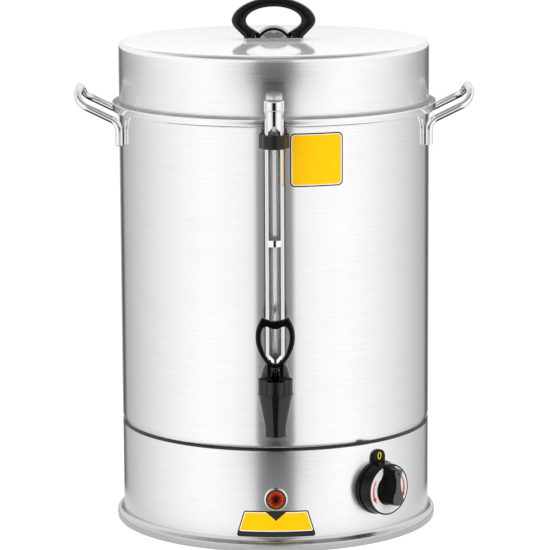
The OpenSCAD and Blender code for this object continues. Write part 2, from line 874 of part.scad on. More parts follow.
module gauge_nut() {
    top_d = guard_d + 2.6;
    pocket_h = seal_h + lip_h + 0.3;
    shoulder = 7;
    bell_r = (gauge_nut_d - top_d) / 2;
    bell_h = gauge_nut_h - shoulder;
    color("dimgray") translate([0, gauge_y, gauge_nut_z]) difference() {
        rotate_extrude() {
            square([gauge_nut_d / 2, shoulder]);
            square([top_d / 2, gauge_nut_h]);
            translate([0, shoulder]) polygon([
                [0, 0], [gauge_nut_d / 2, 0], [gauge_nut_d / 2 - 0.25 * bell_r, 0.35 * bell_h],
                [gauge_nut_d / 2 - 0.6 * bell_r, 0.7 * bell_h], [top_d / 2, 0.95 * bell_h], [0, 0.95 * bell_h]
            ]);
        }
        translate([0, 0, -over]) cylinder(d = boss_d, h = boss_top - gauge_nut_z + over);
        translate([0, 0, boss_top - gauge_nut_z]) cylinder(d = lip_d + 0.4, h = pocket_h);
        cylinder(d = guard_d + 2 * hinge_gap, h = gauge_nut_h + over);
    }
}

module gauge_seal() {
    color("black") translate([0, gauge_y, boss_top]) tube(guard_d - 1, glass_d + 2 * hinge_gap, seal_h);
}

module gauge_glass() {
    color("lightcyan") translate([0, gauge_y, boss_top - glass_sink])
        tube(glass_d, glass_bore, glass_top - boss_top + glass_sink);
}

module glass_bush() {
    bush_h = 6;
    color("black") translate([0, gauge_y, glass_top - bush_h - 3])
        tube(guard_d - 2 * guard_t, glass_d + 2 * hinge_gap, bush_h);
}

// Opening of the guard's slot between two heights, pointed at its chosen end
module slot_cut(z0, z1, point0, point1) {
    half = slot_w / 2;
    translate([0, gauge_y, 0]) rotate([90, 0, 0]) linear_extrude(guard_d) polygon([
        [-half, z0], [0, z0 - point0], [half, z0], [half, z1], [0, z1 + point1], [-half, z1]
    ]);
}

module gauge_guard() {
    color("whitesmoke") difference() {
        translate([0, gauge_y, guard_z]) union() {
            tube(guard_d, guard_d - 2 * guard_t, guard_top - guard_z);
            tube(lip_d, guard_d - 2 * guard_t, lip_h);
        }
        slot_cut(slot_low, bridge_z, slot_point, 0);
        slot_cut(bridge_z + bridge_h, slot_high, 0, slot_point);
    }
}

module gauge_cap() {
    cap_d = guard_d + 1.2;
    bead_r = 0.8;
    edge_r = 1.2;
    vent_d = 2.4;
    color("whitesmoke") translate([0, gauge_y, gauge_top - cap_h]) difference() {
        rotate_extrude() {
            square([cap_d / 2, cap_h - edge_r]);
            square([cap_d / 2 - edge_r, cap_h]);
            translate([cap_d / 2 - edge_r, cap_h - edge_r]) circle(edge_r);
            translate([cap_d / 2 - 0.3, bead_r]) circle(bead_r);
        }
        translate([0, 0, -over]) cylinder(d = guard_d, h = cap_h - cap_t + over);
        cylinder(d = vent_d, h = cap_h + over);
    }
}

module gauge_clip() {
    band_t = 2.6;
    wing_y = gauge_y + guard_d / 4;
    color("black") difference() {
        translate([0, 0, clip_z]) linear_extrude(clip_h) difference() {
            union() {
                translate([0, gauge_y]) circle(d = guard_d + 2 * band_t);
                polygon([
                    [-guard_d / 2 - 1, gauge_y - 5], [guard_d / 2 + 1, gauge_y - 5], [clip_w / 2, wing_y],
                    [clip_back_w / 2, -body_r + 4], [-clip_back_w / 2, -body_r + 4], [-clip_w / 2, wing_y]
                ]);
            }
            translate([0, gauge_y]) circle(d = guard_d);
            circle(body_r);
        }
        inwards(gauge_y, clip_z + clip_h / 2) {
            cylinder(d = screw_d, h = body_r);
            cylinder(d = screw_head[0], h = guard_d / 2 + screw_head[1]);
        }
    }
}

module clip_screw() {
    head_y = gauge_y + guard_d / 2 + 0.2;
    color("silver") inwards(head_y, clip_z + clip_h / 2) {
        cylinder(d = screw_head[0], h = screw_head[1] - 0.2);
        cylinder(d = screw_d, h = -body_in_r - head_y + 6);
    }
}

module clip_nut() {
    size = [7, 3.2];
    color("silver") intersection() {
        inwards(-body_in_r - over, clip_z + clip_h / 2) hex_nut([size[0], size[1] + over], screw_d);
        core(body_in_r);
    }
}

// Pilot lamp

module lamp_bezel() {
    bezel_h = 3;
    edge_r = 1.4;
    color("whitesmoke") difference() {
        on_wall(0, lamp_z, base_r) rotate_extrude() difference() {
            union() {
                translate([0, -over]) square([lamp_d / 2, bezel_h + over - edge_r]);
                square([lamp_d / 2 - edge_r, bezel_h]);
                translate([lamp_d / 2 - edge_r, bezel_h - edge_r]) circle(edge_r);
            }
            translate([0, -2 * over]) square([lens_d / 2, bezel_h + 3 * over]);
        }
        core(base_r);
    }
}

module lamp_lens() {
    rise = 3.4;
    dome_r = (pow(lens_d / 2, 2) + rise * rise) / (2 * rise);
    color("orangered") on_wall(0, lamp_z, base_r) {
        translate([0, 0, -lens_in]) cylinder(d = lens_d, h = lens_in + 1);
        intersection() {
            translate([0, 0, 1 + rise - dome_r]) sphere(dome_r);
            translate([0, 0, 1]) cylinder(d = lens_d, h = rise + over);
        }
    }
}

module lamp_body() {
    color("white") on_wall(0, lamp_z, base_r) translate([0, 0, -lens_in - lamp_run]) {
        cylinder(d = lamp_body_d, h = lamp_run);
        for (x = [-lamp_tab_x, lamp_tab_x]) translate([x, 0, 0]) tab_blade(lamp_tab);
    }
}

// Push-on terminal blade below the XY plane
module tab_blade(size) {
    translate([-size[0] / 2, -size[1] / 2, -size[2]]) cube([size[0], size[1], size[2] + over]);
}

module lamp_nut() {
    nut_t = 5;
    color("white") intersection() {
        on_wall(0, lamp_z, base_r) translate([0, 0, -nut_t - sheet])
            tube(lamp_d, lamp_body_d, nut_t + over);
        core(base_in_r);
        lamp_nut_room();
    }
}

// Room of the lamp's nut behind the lens
module lamp_nut_room() {
    on_wall(0, lamp_z, base_r) difference() {
        translate([0, 0, -lamp_d]) cylinder(d = 2 * lamp_d, h = lamp_d);
        translate([0, 0, -lens_in]) cylinder(d = lens_d + 2 * hole_gap, h = lamp_d);
    }
}

// Heat control

module dial_plate() {
    tab_r = tab_w / 2;
    color("black") difference() {
        on_wall(dial_angle, dial_z, base_r) translate([0, 0, -tab_w]) linear_extrude(tab_w + dial_plate_t) {
            circle(d = dial_plate_d);
            translate([-tab_r, 0]) square([tab_w, tab_up - tab_r]);
            translate([0, tab_up - tab_r]) circle(tab_r);
        }
        core(base_r);
        on_wall(dial_angle, dial_z, base_r) {
            cylinder(d = dial_hole_d, h = dial_plate_d, center = true);
            for (x = [-dial_screw_x, dial_screw_x]) translate([x, 0, 0]) {
                cylinder(d = screw_d + 2 * hole_gap, h = dial_plate_d, center = true);
                translate([0, 0, dial_plate_t - screw_head[1]])
                    cylinder(d = screw_head[0] + 2 * hole_gap, h = screw_head[1] + over);
            }
        }
    }
}

module thermostat_screws() {
    run = dial_plate_t + dial_screw_bite;
    color("silver") on_wall(dial_angle, dial_z, base_r) for (x = [-dial_screw_x, dial_screw_x])
        translate([x, 0, dial_plate_t - 0.2]) {
            translate([0, 0, -screw_head[1] + 0.2]) cylinder(d = screw_head[0], h = screw_head[1] - 0.2);
            translate([0, 0, -run]) cylinder(d = screw_d, h = run);
        }
}

module thermostat_body() {
    bore_run = spindle_in + 0.5;
    color("ivory") difference() {
        union() {
            intersection() {
                on_wall(dial_angle, dial_z, base_r)
                    translate([-thermo_plate[0] / 2, -thermo_plate[1] / 2, -thermo_plate[2] - sheet - over])
                        cube([thermo_plate[0], thermo_plate[1], thermo_plate[2] + 2 * sheet + over]);
                core(base_in_r);
            }
            on_wall(dial_angle, dial_z, thermo_back)
                translate([-thermo_size[0] / 2, -thermo_size[1] / 2, 0]) cube(thermo_size);
        }
        on_wall(dial_angle, dial_z, base_r) {
            translate([0, 0, -bore_run]) cylinder(d = spindle_d + 2 * hinge_gap, h = 2 * bore_run);
            for (x = [-dial_screw_x, dial_screw_x])
                translate([x, 0, -dial_screw_bite - over]) cylinder(d = screw_d, h = 2 * dial_screw_bite);
        }
    }
}

module thermostat_spindle() {
    front = dial_plate_t + run_gap + knob_depth - 4;
    color("silver") on_wall(dial_angle, dial_z, base_r)
        translate([0, 0, -spindle_in]) cylinder(d = spindle_d, h = spindle_in + front);
}

// Waisted wing: a keyhole at the knob's face that draws in to a narrow front
module knob_grip() {
    n = 7;
    hub = dial_ring_bore / 2 - 0.4;
    heel = hub;
    tip = grip_len - heel;
    neck = dial_ring_bore / 4 - 0.6;
    low = [
        [0, tip], [0.9 * neck, tip], [neck, tip - 0.5], [neck, tip - 4],
        [neck, 0.48 * tip], [0.96 * hub, 0.4 * tip], [hub, 0],
        [hub, -0.6 * heel], [0.56 * hub, -heel], [0, -heel]
    ];
    front_tip = tip - 2.6;
    front_heel = heel - 1.5;
    wide = 0.46 * hub;
    high = [
        [0, front_tip], [0.7 * neck, front_tip], [0.66 * neck, front_tip - 0.5], [0.66 * neck, front_tip - 4],
        [0.17 * neck, 0.44 * tip], [0.43 * neck, 0.12 * tip], [wide, -0.55 * heel],
        [wide, -0.8 * heel], [0.6 * wide, -front_heel], [0, -front_heel]
    ];
    levels = [
        [-over / grip_h, 0], [0.06, 0.06], [0.16, 0.32], [0.4, 0.68], [0.7, 0.88], [0.96, 0.97], [1, 1.04]
    ];
    skin([
        for (l = levels)
            let (
                c = (1 - l[1]) * low + l[1] * high,
                half = concat(
                    bezier(c[0], c[1], c[2], c[3], n), bezier(c[3], c[4], c[5], c[6], n),
                    bezier(c[6], c[7], c[8], c[9], n)
                ),
                back = [for (i = [len(half) - 1 : -1 : 1]) [-half[i][0], half[i][1]]]
            )
            [for (p = concat(half, [c[9]], back)) [-p[0], p[1], l[0] * grip_h]]
    ]);
}

module thermostat_knob() {
    wall = 2.6;
    face = 2.6;
    hub_d = 16;
    draft = 0.7;
    edge_r = 0.6;
    groove = 0.5;
    low = dial_plate_t + run_gap;
    high = low + knob_depth;
    color("black") on_wall(dial_angle, dial_z, base_r) difference() {
        union() {
            translate([0, 0, low]) rotate_extrude() {
                polygon([
                    [0, 0], [knob_d / 2, 0], [knob_d / 2 - draft, knob_depth - edge_r],
                    [knob_d / 2 - draft - edge_r, knob_depth], [0, knob_depth]
                ]);
            }
            translate([0, 0, high]) knob_grip();
        }
        translate([0, 0, low - over]) tube(knob_d - 2 * wall, hub_d, knob_depth - face + over);
        translate([0, 0, low - over]) cylinder(d = spindle_d, h = knob_depth - 4 + over);
        translate([0, 0, high - groove]) dial_ring_room(groove + over);
    }
}

// Ring-shaped room on the knob's face, clear of the grip
module dial_ring_room(h) {
    difference() {
        cylinder(d = dial_ring_d, h = h);
        translate([0, 0, -over]) cylinder(d = dial_ring_bore, h = h + 2 * over);
        translate([-dial_ring_bore / 4, 0, -over]) cube([dial_ring_bore / 2, dial_ring_d, h + 2 * over]);
    }
}

module dial_ring() {
    ring_t = 0.5;
    color("lightgray") on_wall(dial_angle, dial_z, base_r)
        translate([0, 0, dial_plate_t + run_gap + knob_depth - ring_t]) dial_ring_room(ring_t);
}

// Place of the sensor bulb on the tank floor, in line with the thermostat
module bulb_place() {
    rotate([0, 0, dial_angle]) translate([0, -bulb_reach, 0]) children();
}

module sensor_bulb() {
    bulb_len = 45;
    color("peru") bulb_place() translate([0, 0, floor_z - bulb_below]) cylinder(d = bulb_d, h = bulb_len);
}

module bulb_gland() {
    color("silver") bulb_place() {
        translate([0, 0, floor_z - 7]) hex_nut([14, 7], bulb_d);
        translate([0, 0, floor_top]) tube(14, bulb_d, 3);
    }
}

// A point in the base at a distance from the axis towards the heat knob
function dial_side(r, z) = [r * sin(dial_angle), -r * cos(dial_angle), z];
thermo_back = base_r - sheet - thermo_plate[2] - thermo_size[2];

module capillary_tube() {
    tube_d = 2.4;
    top = floor_z - bulb_below - lead_gap;
    mid = (bulb_reach + thermo_back) / 2;
    route = [
        dial_side(bulb_reach, top), dial_side(bulb_reach, top - 6), dial_side(mid - 8, dial_z + 18),
        dial_side(mid + 6, dial_z + 10), dial_side(thermo_back - 6, dial_z + 8),
        dial_side(thermo_back - lead_gap, dial_z + 8)
    ];
    color("peru") skin(rings_along(smooth(route, 3), tube_d / 2, 8, [cos(dial_angle), sin(dial_angle), 0]));
}

// Place of one of the heating element's two legs, at the back
module element_leg(s) {
    rotate([0, 0, 90 + s * element_gap]) translate([element_r, -s * element_bend_r, 0]) children();
}

// The element's line: up one leg, round the ring and down the other leg
function turned(a, p) = [p[0] * cos(a) - p[1] * sin(a), p[0] * sin(a) + p[1] * cos(a), p[2]];
element_low = element_z - element_bend_r;
element_side = [
    for (u = [90 : -22.5 : 1])
        [element_r, -element_bend_r * sin(u), element_low + element_bend_r * cos(u)]
];
element_half = concat([[element_r, -element_bend_r, floor_z - element_end]], element_side);
element_line = concat(
    [for (p = element_half) turned(90 + element_gap, p)],
    [for (a = [element_gap : (360 - 2 * element_gap) / 40 : 360 - element_gap])
        turned(90 + a, [element_r, 0, element_z])],
    [for (i = [len(element_half) - 1 : -1 : 0])
        turned(90 - element_gap, [element_half[i][0], -element_half[i][1], element_half[i][2]])]
);

module heating_element() {
    color("gray") {
        skin(rings_along(element_line, element_d / 2, 10, [0, 0.8, 0.6]));
        for (s = [-1, 1]) element_leg(s)
            translate([0, 0, stud_low]) cylinder(d = screw_d, h = element_stud + over);
    }
}

module element_nuts() {
    size = [15, 6];
    collar = [14, 3];
    color("silver") for (s = [-1, 1]) element_leg(s) {
        translate([0, 0, floor_z - size[1]]) hex_nut(size, element_d);
        translate([0, 0, floor_top]) tube(collar[0], element_d, collar[1]);
    }
}

module limit_thermostat() {
    ear = [36, 9, 1];
    color("ivory") translate([limiter_at[0], limiter_at[1], floor_z - limiter_size[1]]) {
        cylinder(d = limiter_size[0], h = limiter_size[1]);
        translate([-ear[0] / 2, -ear[1] / 2, limiter_size[1] - ear[2]]) cube(ear);
        for (x = [-limiter_tab_x, limiter_tab_x]) translate([x, 0, 0]) tab_blade(limiter_tab);
    }
}

module terminal_block() {
    well_d = 5;
    groove = 1;
    color("ivory") translate([block_at[0], block_at[1], plate_z + sheet]) difference() {
        translate([-block_size[0] / 2, -block_size[1] / 2, 0]) cube(block_size);
        for (i = [0 : block_poles - 1]) translate([(i + 0.5) * block_pitch - block_size[0] / 2, 0, 0]) {
            for (y = [-1, 1] * block_size[1] / 4) translate([0, y, block_size[2] / 2])
                cylinder(d = well_d, h = block_size[2]);
            if (i > 0) translate([-(block_pitch + groove) / 2, -block_size[1], block_size[2] / 2])
                cube([groove, 2 * block_size[1], block_size[2]]);
        }
    }
}

module cord_gland() {
    hex = [22, 5];
    dome = 12;
    inside = 11;
    color("black") difference() {
        union() {
            difference() {
                on_wall(180, gland_z, base_r) translate([0, 0, -over])
                    cylinder(d = hex[0] / cos(30), h = hex[1] + over, $fn = 6);
                core(base_r);
            }
            on_wall(180, gland_z, base_r) {
                translate([0, 0, -inside]) cylinder(d = gland_d, h = inside + hex[1]);
                translate([0, 0, hex[1]]) cylinder(d1 = hex[0] - 1, d2 = cord_d + 5, h = dome);
            }
        }
        on_wall(180, gland_z, base_r) cylinder(d = cord_d, h = 4 * (dome + inside), center = true);
    }
}

module gland_nut() {
    size = [22, 5];
    color("black") intersection() {
        on_wall(180, gland_z, base_r) translate([0, 0, -size[1] - sheet])
            hex_nut([size[0], size[1] + over], gland_d);
        core(base_in_r);
    }
}

// Leads between the terminal block, the thermostats, the element and the lamp
lead_gap = 0.4;
lead_out = 8;
block_top = plate_z + sheet + block_size[2];
block_front = block_at[1] - block_size[1] / 2;
pole_z = block_top - 4;
stud_low = floor_z - element_end - element_stud;
limiter_low = floor_z - limiter_size[1] - limiter_tab[2];
lamp_back = base_r - lens_in - lamp_run - lamp_tab[2];
leg_x = element_r * sin(element_gap) - element_bend_r * cos(element_gap);
leg_y = element_r * cos(element_gap) + element_bend_r * sin(element_gap);

// First two points of a lead at a pole of the block, an element leg, a limiter tab, a lamp tab
// and a terminal on the thermostat's back
function at_pole(i) = [
    for (run = [lead_gap, lead_out])
        [block_at[0] + (i - (block_poles - 1) / 2) * block_pitch, block_front - run, pole_z]
];
function at_leg(s) = [for (run = [lead_gap, lead_out]) [s * leg_x, leg_y, stud_low - run]];
function at_limiter(s) = [
    for (run = [lead_gap, lead_out]) [limiter_at[0] + s * limiter_tab_x, limiter_at[1], limiter_low - run]
];
function at_lamp(s) = [for (run = [lead_gap, lead_out]) [s * lamp_tab_x, run - lamp_back, lamp_z]];
function at_thermostat(x, z) = [
    for (run = [lead_gap, lead_out])
        dial_side(thermo_back - run, z) + x * [cos(dial_angle), sin(dial_angle), 0]
];
function flipped(p) = [for (i = [len(p) - 1 : -1 : 0]) p[i]];

leads = [
    concat(at_pole(0), [[-17, block_front - 17, pole_z + 12]], flipped(at_leg(-1))),
    concat(at_pole(1), [[8, block_front - 21, pole_z + 4], [34, 52, pole_z + 18]], flipped(at_limiter(-1))),
    concat(at_leg(1), [[44, 76, 52], [86, 4, 48]], flipped(at_thermostat(7, dial_z - 4))),
    concat(at_limiter(1), [[64, 4, 56]], flipped(at_thermostat(-7, dial_z - 8))),
    concat(
        at_lamp(1), [[24, -60, 30], [26, 30, 24], [12, block_front - 19, pole_z + 1]],
        flipped(at_pole(2))
    ),
    concat(
        at_lamp(-1), [[10, -58, 24], [34, 34, 16], [24, block_front - 19, pole_z - 3]],
        flipped(at_pole(3))
    )
];

module wiring() {
    lead_d = 2.6;
    lead_up = [0.31, 0.24, 0.92];
    color("firebrick") for (route = leads)
        skin(rings_along(smooth(route, 3), lead_d / 2, 6, lead_up));
}

// Lid

module lid_shell() {
    color("silver") difference() {
        rotate_extrude() translate([0, lid_top]) mirror([0, 1])
            cup_section(lid_r, 0, lid_h, lid_edge_r, sheet);
        translate([0, 0, lid_top]) cylinder(d = knob_stud_d + 2 * hole_gap, h = 6 * sheet, center = true);
    }
}

module lid_ring() {
    color("gainsboro") rotate_extrude() {
        translate([lid_ring_r - sheet, lid_ring_top]) square([lid_in_r - lid_ring_r + sheet, sheet]);
        translate([lid_ring_r - sheet, lid_ring_top + sheet - lid_ring_h]) square([sheet, lid_ring_h]);
    }
}

module lid_knob() {
    n = 6;
    top = loop_h;
    half = loop_w / 2;
    foot = loop_foot_w / 2;
    low = loop_foot_t;
    waist = 20.5;
    bar_side = 15.4;
    bar_top = 10;
    knee = [foot + 4.3, low + 4.2];
    inner_foot = dome_d / 2 + 0.8;
    nib = [inner_foot - 2.4, low + 4.8];
    slot = half - bar_side;
    outer_half = concat(
        bezier([foot, low], [foot + 1.4, low + 1.2], knee - [1.4, 1.5], knee, n),
        bezier(knee, knee + [4.5, 4.5], [half, waist - 5], [half, waist], n),
        bezier([half, waist], [half, waist + 12], [0.54 * half, top], [0, top], n)
    );
    inner_half = concat(
        bezier([inner_foot, low], [inner_foot - 0.6, low + 1.4], nib + [0.2, -1.5], nib, n),
        bezier(nib, nib + [4.6, 3.6], [slot, waist - 6], [slot, waist], n),
        bezier([slot, waist], [slot, waist + 8], [0.36 * half, top - bar_top], [0, top - bar_top], n)
    );
    both = function (h, end) concat(h, [end], [for (i = [len(h) - 1 : -1 : 0]) [-h[i][0], h[i][1]]]);
    outer = both(outer_half, [0, top]);
    inner = both(inner_half, [0, top - bar_top]);
    color("black") translate([0, 0, lid_top])
        band(outer, inner, [for (p = outer) loop_depth - 6 * p[1] / top]);
}

// Chrome dome on the plate that carries the loop, with the stud that holds both to the lid
module knob_dome() {
    corner_r = 9;
    dome_r = (pow(dome_d / 2, 2) + dome_h * dome_h) / (2 * dome_h);
    stud_run = sheet + knob_washer_size[1] + knob_nut_size[1] + 3;
    color("whitesmoke") translate([0, 0, lid_top]) {
        linear_extrude(loop_foot_t) {
            square([loop_foot_w, loop_plate_d - 2 * corner_r], center = true);
            square([loop_foot_w - 2 * corner_r, loop_plate_d], center = true);
            for (x = [-1, 1], y = [-1, 1])
                translate([x * (loop_foot_w / 2 - corner_r), y * (loop_plate_d / 2 - corner_r)]) circle(corner_r);
        }
        translate([0, 0, loop_foot_t - over]) intersection() {
            translate([0, 0, over + dome_h - dome_r]) sphere(dome_r);
            cylinder(d = dome_d, h = dome_h + 2 * over);
        }
        translate([0, 0, -stud_run]) cylinder(d = knob_stud_d, h = stud_run + over);
    }
}

module knob_washer() {
    color("silver") translate([0, 0, lid_top - sheet - knob_washer_size[1]])
        tube(knob_washer_size[0], knob_stud_d + 2 * hole_gap, knob_washer_size[1]);
}

module knob_nut() {
    color("silver") translate([0, 0, lid_top - sheet - knob_washer_size[1] - knob_nut_size[1]])
        hex_nut(knob_nut_size, knob_stud_d);
}

base_shell();
base_plate();
plate_brackets();
plate_screws();
tank_shelf();
shelf_studs();
shelf_nuts();
base_seal();
body_shell();
inner_pot();
filler_plug();
handle_left();
handle_right();
tap_body();
outer_washer();
shank_sleeve();
inner_washer();
shank_nut();
bonnet();
bonnet_nut();
gauge_nut();
gauge_seal();
gauge_glass();
glass_bush();
gauge_guard();
gauge_cap();
gauge_clip();
clip_screw();
clip_nut();
lamp_bezel();
lamp_lens();
lamp_body();
lamp_nut();
dial_plate();
thermostat_body();
thermostat_screws();
capillary_tube();
sensor_bulb();
bulb_gland();
heating_element();
element_nuts();
limit_thermostat();
terminal_block();
cord_gland();
gland_nut();
wiring();
lid_shell();
lid_ring();
lid_knob();
knob_dome();
knob_washer();
knob_nut();
thermostat_knob();
dial_ring();
thermostat_spindle();
plunger_stem();
seat_cup();
lever_pin();
plunger_spring();
tap_lever();
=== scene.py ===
"""Looks of a hot milk dispenser: finishes, fine meshes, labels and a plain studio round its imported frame.

Sizes are in millimetres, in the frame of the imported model: +Z up, front towards -Y, right is +X.
"""

import json
import math

import bmesh
import bpy
from mathutils import Matrix, Vector


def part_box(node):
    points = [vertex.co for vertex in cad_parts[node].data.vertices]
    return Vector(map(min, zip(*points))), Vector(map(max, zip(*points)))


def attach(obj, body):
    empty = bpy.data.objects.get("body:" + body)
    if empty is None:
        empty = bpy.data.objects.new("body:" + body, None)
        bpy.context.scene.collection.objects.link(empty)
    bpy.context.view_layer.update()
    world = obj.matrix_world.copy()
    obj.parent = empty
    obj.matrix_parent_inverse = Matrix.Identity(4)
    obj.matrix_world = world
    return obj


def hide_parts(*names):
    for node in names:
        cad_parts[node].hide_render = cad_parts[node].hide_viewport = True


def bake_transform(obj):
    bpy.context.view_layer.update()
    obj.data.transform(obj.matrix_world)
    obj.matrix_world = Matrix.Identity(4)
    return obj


MM = 0.001

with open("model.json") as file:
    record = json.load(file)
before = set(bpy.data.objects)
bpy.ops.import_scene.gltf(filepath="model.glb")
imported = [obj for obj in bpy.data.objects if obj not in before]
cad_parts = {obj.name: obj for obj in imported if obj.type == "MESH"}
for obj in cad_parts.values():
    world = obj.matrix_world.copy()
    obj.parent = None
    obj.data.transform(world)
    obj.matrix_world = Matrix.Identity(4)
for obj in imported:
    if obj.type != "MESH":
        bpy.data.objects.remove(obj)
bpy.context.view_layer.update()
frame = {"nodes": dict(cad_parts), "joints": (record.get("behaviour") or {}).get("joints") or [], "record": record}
nodes = frame["nodes"]
slot_of = {row["node"]: row["material_slot"] for row in frame["record"]["subparts"]}


def span(node):
    """Lowest and highest corner of a CAD node, in millimetres."""
    low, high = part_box(node)
    return low / MM, high / MM


# Sizes that the part's source has as well
SHEET = 1.0
RIM_OUT = 7.5
RIM_UP = 8.5
FOOT_OUT = 6.8
FOOT_H = 8.5
FLARE = 5.5
PLATE_T = 3.5
KNOB_LOW = PLATE_T + 0.3
KNOB_DEPTH = 14.5
GRIP_H = 15.0

# Rim and bore of the dial ring, its rim 0.05 past the source's
DIAL_OUT = 25.3
DIAL_IN = 16.5

# Sizes read from the frame
tank_low, tank_high = span("body_shell")
lip_r = tank_high.x
lip_top = tank_high.z
tank_r = lip_r - RIM_OUT
rim_z = lip_top - RIM_UP
tank_floor = tank_low.z
lid_low, lid_high = span("lid_shell")
lid_r = lid_high.x
_, base_high = span("base_shell")
foot_r = base_high.x
base_top = base_high.z
base_r = foot_r - FOOT_OUT
knob_joint = next(j for j in frame["joints"] if j["name"] == "knob_turn")
lever_joint = next(j for j in frame["joints"] if j["name"] == "lever_tilt")
DIAL_ANGLE = math.atan2(-knob_joint["axis"][0], knob_joint["axis"][1])
DIAL_Z = knob_joint["pos_m"][2] / MM
PIN = Vector(lever_joint["pos_m"]) / MM


# Curves in a plane


def arc(centre, radius, start, end, steps):
    """Points on an arc, angles in degrees."""
    angles = [math.radians(start + (end - start) * i / steps) for i in range(steps + 1)]
    return [(centre[0] + radius * math.cos(a), centre[1] + radius * math.sin(a)) for a in angles]


def bezier(a, b, c, d, steps):
    """Points on a cubic curve, its end point left out."""
    points = []
    for i in range(steps):
        t = i / steps
        s = 1 - t
        weights = (s**3, 3 * s * s * t, 3 * s * t * t, t**3)
        points.append(tuple(sum(w * p[k] for w, p in zip(weights, (a, b, c, d))) for k in (0, 1)))
    return points


def rounded(points, radii, steps=5):
    """A closed outline with its corners rounded, one radius for each corner."""
    outline = []
    for i, corner in enumerate(points):
        here = Vector(corner)
        back = (Vector(points[i - 1]) - here).normalized()
        ahead = (Vector(points[(i + 1) % len(points)]) - here).normalized()
        if radii[i] == 0:
            outline.append(tuple(here))
            continue
        half = back.angle(ahead) / 2
        reach = radii[i] / math.tan(half)
        centre = here + (back + ahead).normalized() * radii[i] / math.sin(half)
        start = here + back * reach - centre
        end = here + ahead * reach - centre
        turn = start.angle_signed(end)
        for k in range(steps + 1):
            leg = start.copy()
            leg.rotate(Matrix.Rotation(-turn * k / steps, 2))
            outline.append(tuple(centre + leg))
    return outline


def inset(outline, by):
    """A convex outline moved inwards."""
    count = len(outline)
    area = sum(outline[i - 1][0] * outline[i][1] - outline[i][0] * outline[i - 1][1] for i in range(count))
    sign = 1 if area > 0 else -1
    lines = []
    for i in range(count):
        a, b = Vector(outline[i]), Vector(outline[(i + 1) % count])
        along = (b - a).normalized()
        lines.append((a + sign * by * Vector((-along.y, along.x)), along))
    points = []
    for i in range(count):
        (p, d), (q, e) = lines[i - 1], lines[i]
        t = ((q - p).x * e.y - (q - p).y * e.x) / (d.x * e.y - d.y * e.x)
        points.append(tuple(p + d * t))
    return points


# Meshes


def piece(name, verts, faces, body, finish, slot, replaces=(), place=None, sharp=32):
    """A shaded mesh in millimetres. It may ride on a body and stand for CAD nodes."""
    mesh = bpy.data.meshes.new(name)
    mesh.from_pydata([tuple(Vector(v) * MM) for v in verts], [], faces)
    if place is not None:
        spot = place.copy()
        spot.translation = spot.translation * MM
        mesh.transform(spot)
    shape = bmesh.new()
    shape.from_mesh(mesh)
    bmesh.ops.remove_doubles(shape, verts=shape.verts, dist=1e-7)
    bmesh.ops.recalc_face_normals(shape, faces=shape.faces)
    shape.to_mesh(mesh)
    shape.free()
    mesh.shade_smooth()
    mesh.set_sharp_from_angle(angle=math.radians(sharp))
    mesh.materials.append(finish)
    made = bpy.data.objects.new(name, mesh)
    bpy.context.scene.collection.objects.link(made)
    if body is not None:
        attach(made, body)
    if replaces:
        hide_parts(*replaces)
    return made


def revolve(profile, steps=192, centre=(0, 0)):
    """A closed outline of (radius, height) points turned about an upright axis."""
    verts = []
    rings = []
    for radius, height in profile:
        if radius < 1e-6:
            rings.append([len(verts)] * steps)
            verts.append((centre[0], centre[1], height))
            continue
        rings.append(list(range(len(verts), len(verts) + steps)))
        for i in range(steps):
            a = 2 * math.pi * i / steps
            verts.append((centre[0] + radius * math.cos(a), centre[1] + radius * math.sin(a), height))
    faces = []
    for k, ring in enumerate(rings):
        other = rings[(k + 1) % len(rings)]
        for i in range(steps):
            j = (i + 1) % steps
            corners = list(dict.fromkeys((ring[i], ring[j], other[j], other[i])))
            if len(corners) > 2:
                faces.append(corners)
    return verts, faces


def loft(rings, closed=False):
    """A skin through rings that all have as many points, with flat ends unless it is closed."""
    count = len(rings[0])
    verts = [p for ring in rings for p in ring]
    faces = []
    for k in range(len(rings) if closed else len(rings) - 1):
        low = k * count
        high = (k + 1) % len(rings) * count
        for i in range(count):
            j = (i + 1) % count
            faces.append((low + i, low + j, high + j, high + i))
    if not closed:
        faces.append(tuple(range(count - 1, -1, -1)))
        faces.append(tuple(range(len(verts) - count, len(verts))))
    return verts, faces


def band(outer, inner, depths, sides=28, bulge=0.62):
    """Rings of a round-edged bar between an outer and an inner outline in the XZ plane."""
    rings = []
    for (x0, z0), (x1, z1), depth in zip(outer, inner, depths):
        ring = []
        for k in range(sides):
            a = 2 * math.pi * k / sides
            w = math.copysign(abs(math.cos(a)) ** bulge, math.cos(a))
            y = math.copysign(abs(math.sin(a)) ** bulge, math.sin(a))
            x = (x0 + x1) / 2 + (x0 - x1) / 2 * w
            z = (z0 + z1) / 2 + (z0 - z1) / 2 * w
            ring.append((x, depth / 2 * y, z))
        rings.append(ring)
    return rings


def prism(outline, depth, edge):
    """A flat-sided solid of an outline in XY with chamfered ends, from z = 0 to its depth."""
    centre = sum((Vector(p) for p in outline), Vector((0, 0))) / len(outline)
    shrunk = [Vector(p) + (centre - Vector(p)).normalized() * edge for p in outline]
    rings = []
    for z, ring in ((0, shrunk), (edge, outline), (depth - edge, outline), (depth, shrunk)):
        rings.append([(p[0], p[1], z) for p in ring])
    return loft(rings)


def joined(*parts):
    """Several (verts, faces) pairs as one."""
    verts = []
    faces = []
    for part_verts, part_faces in parts:
        faces += [tuple(i + len(verts) for i in face) for face in part_faces]
        verts += [tuple(v) for v in part_verts]
    return verts, faces


def moved(part, matrix):
    """A (verts, faces) pair under a matrix."""
    return [tuple(matrix @ Vector(v)) for v in part[0]], part[1]


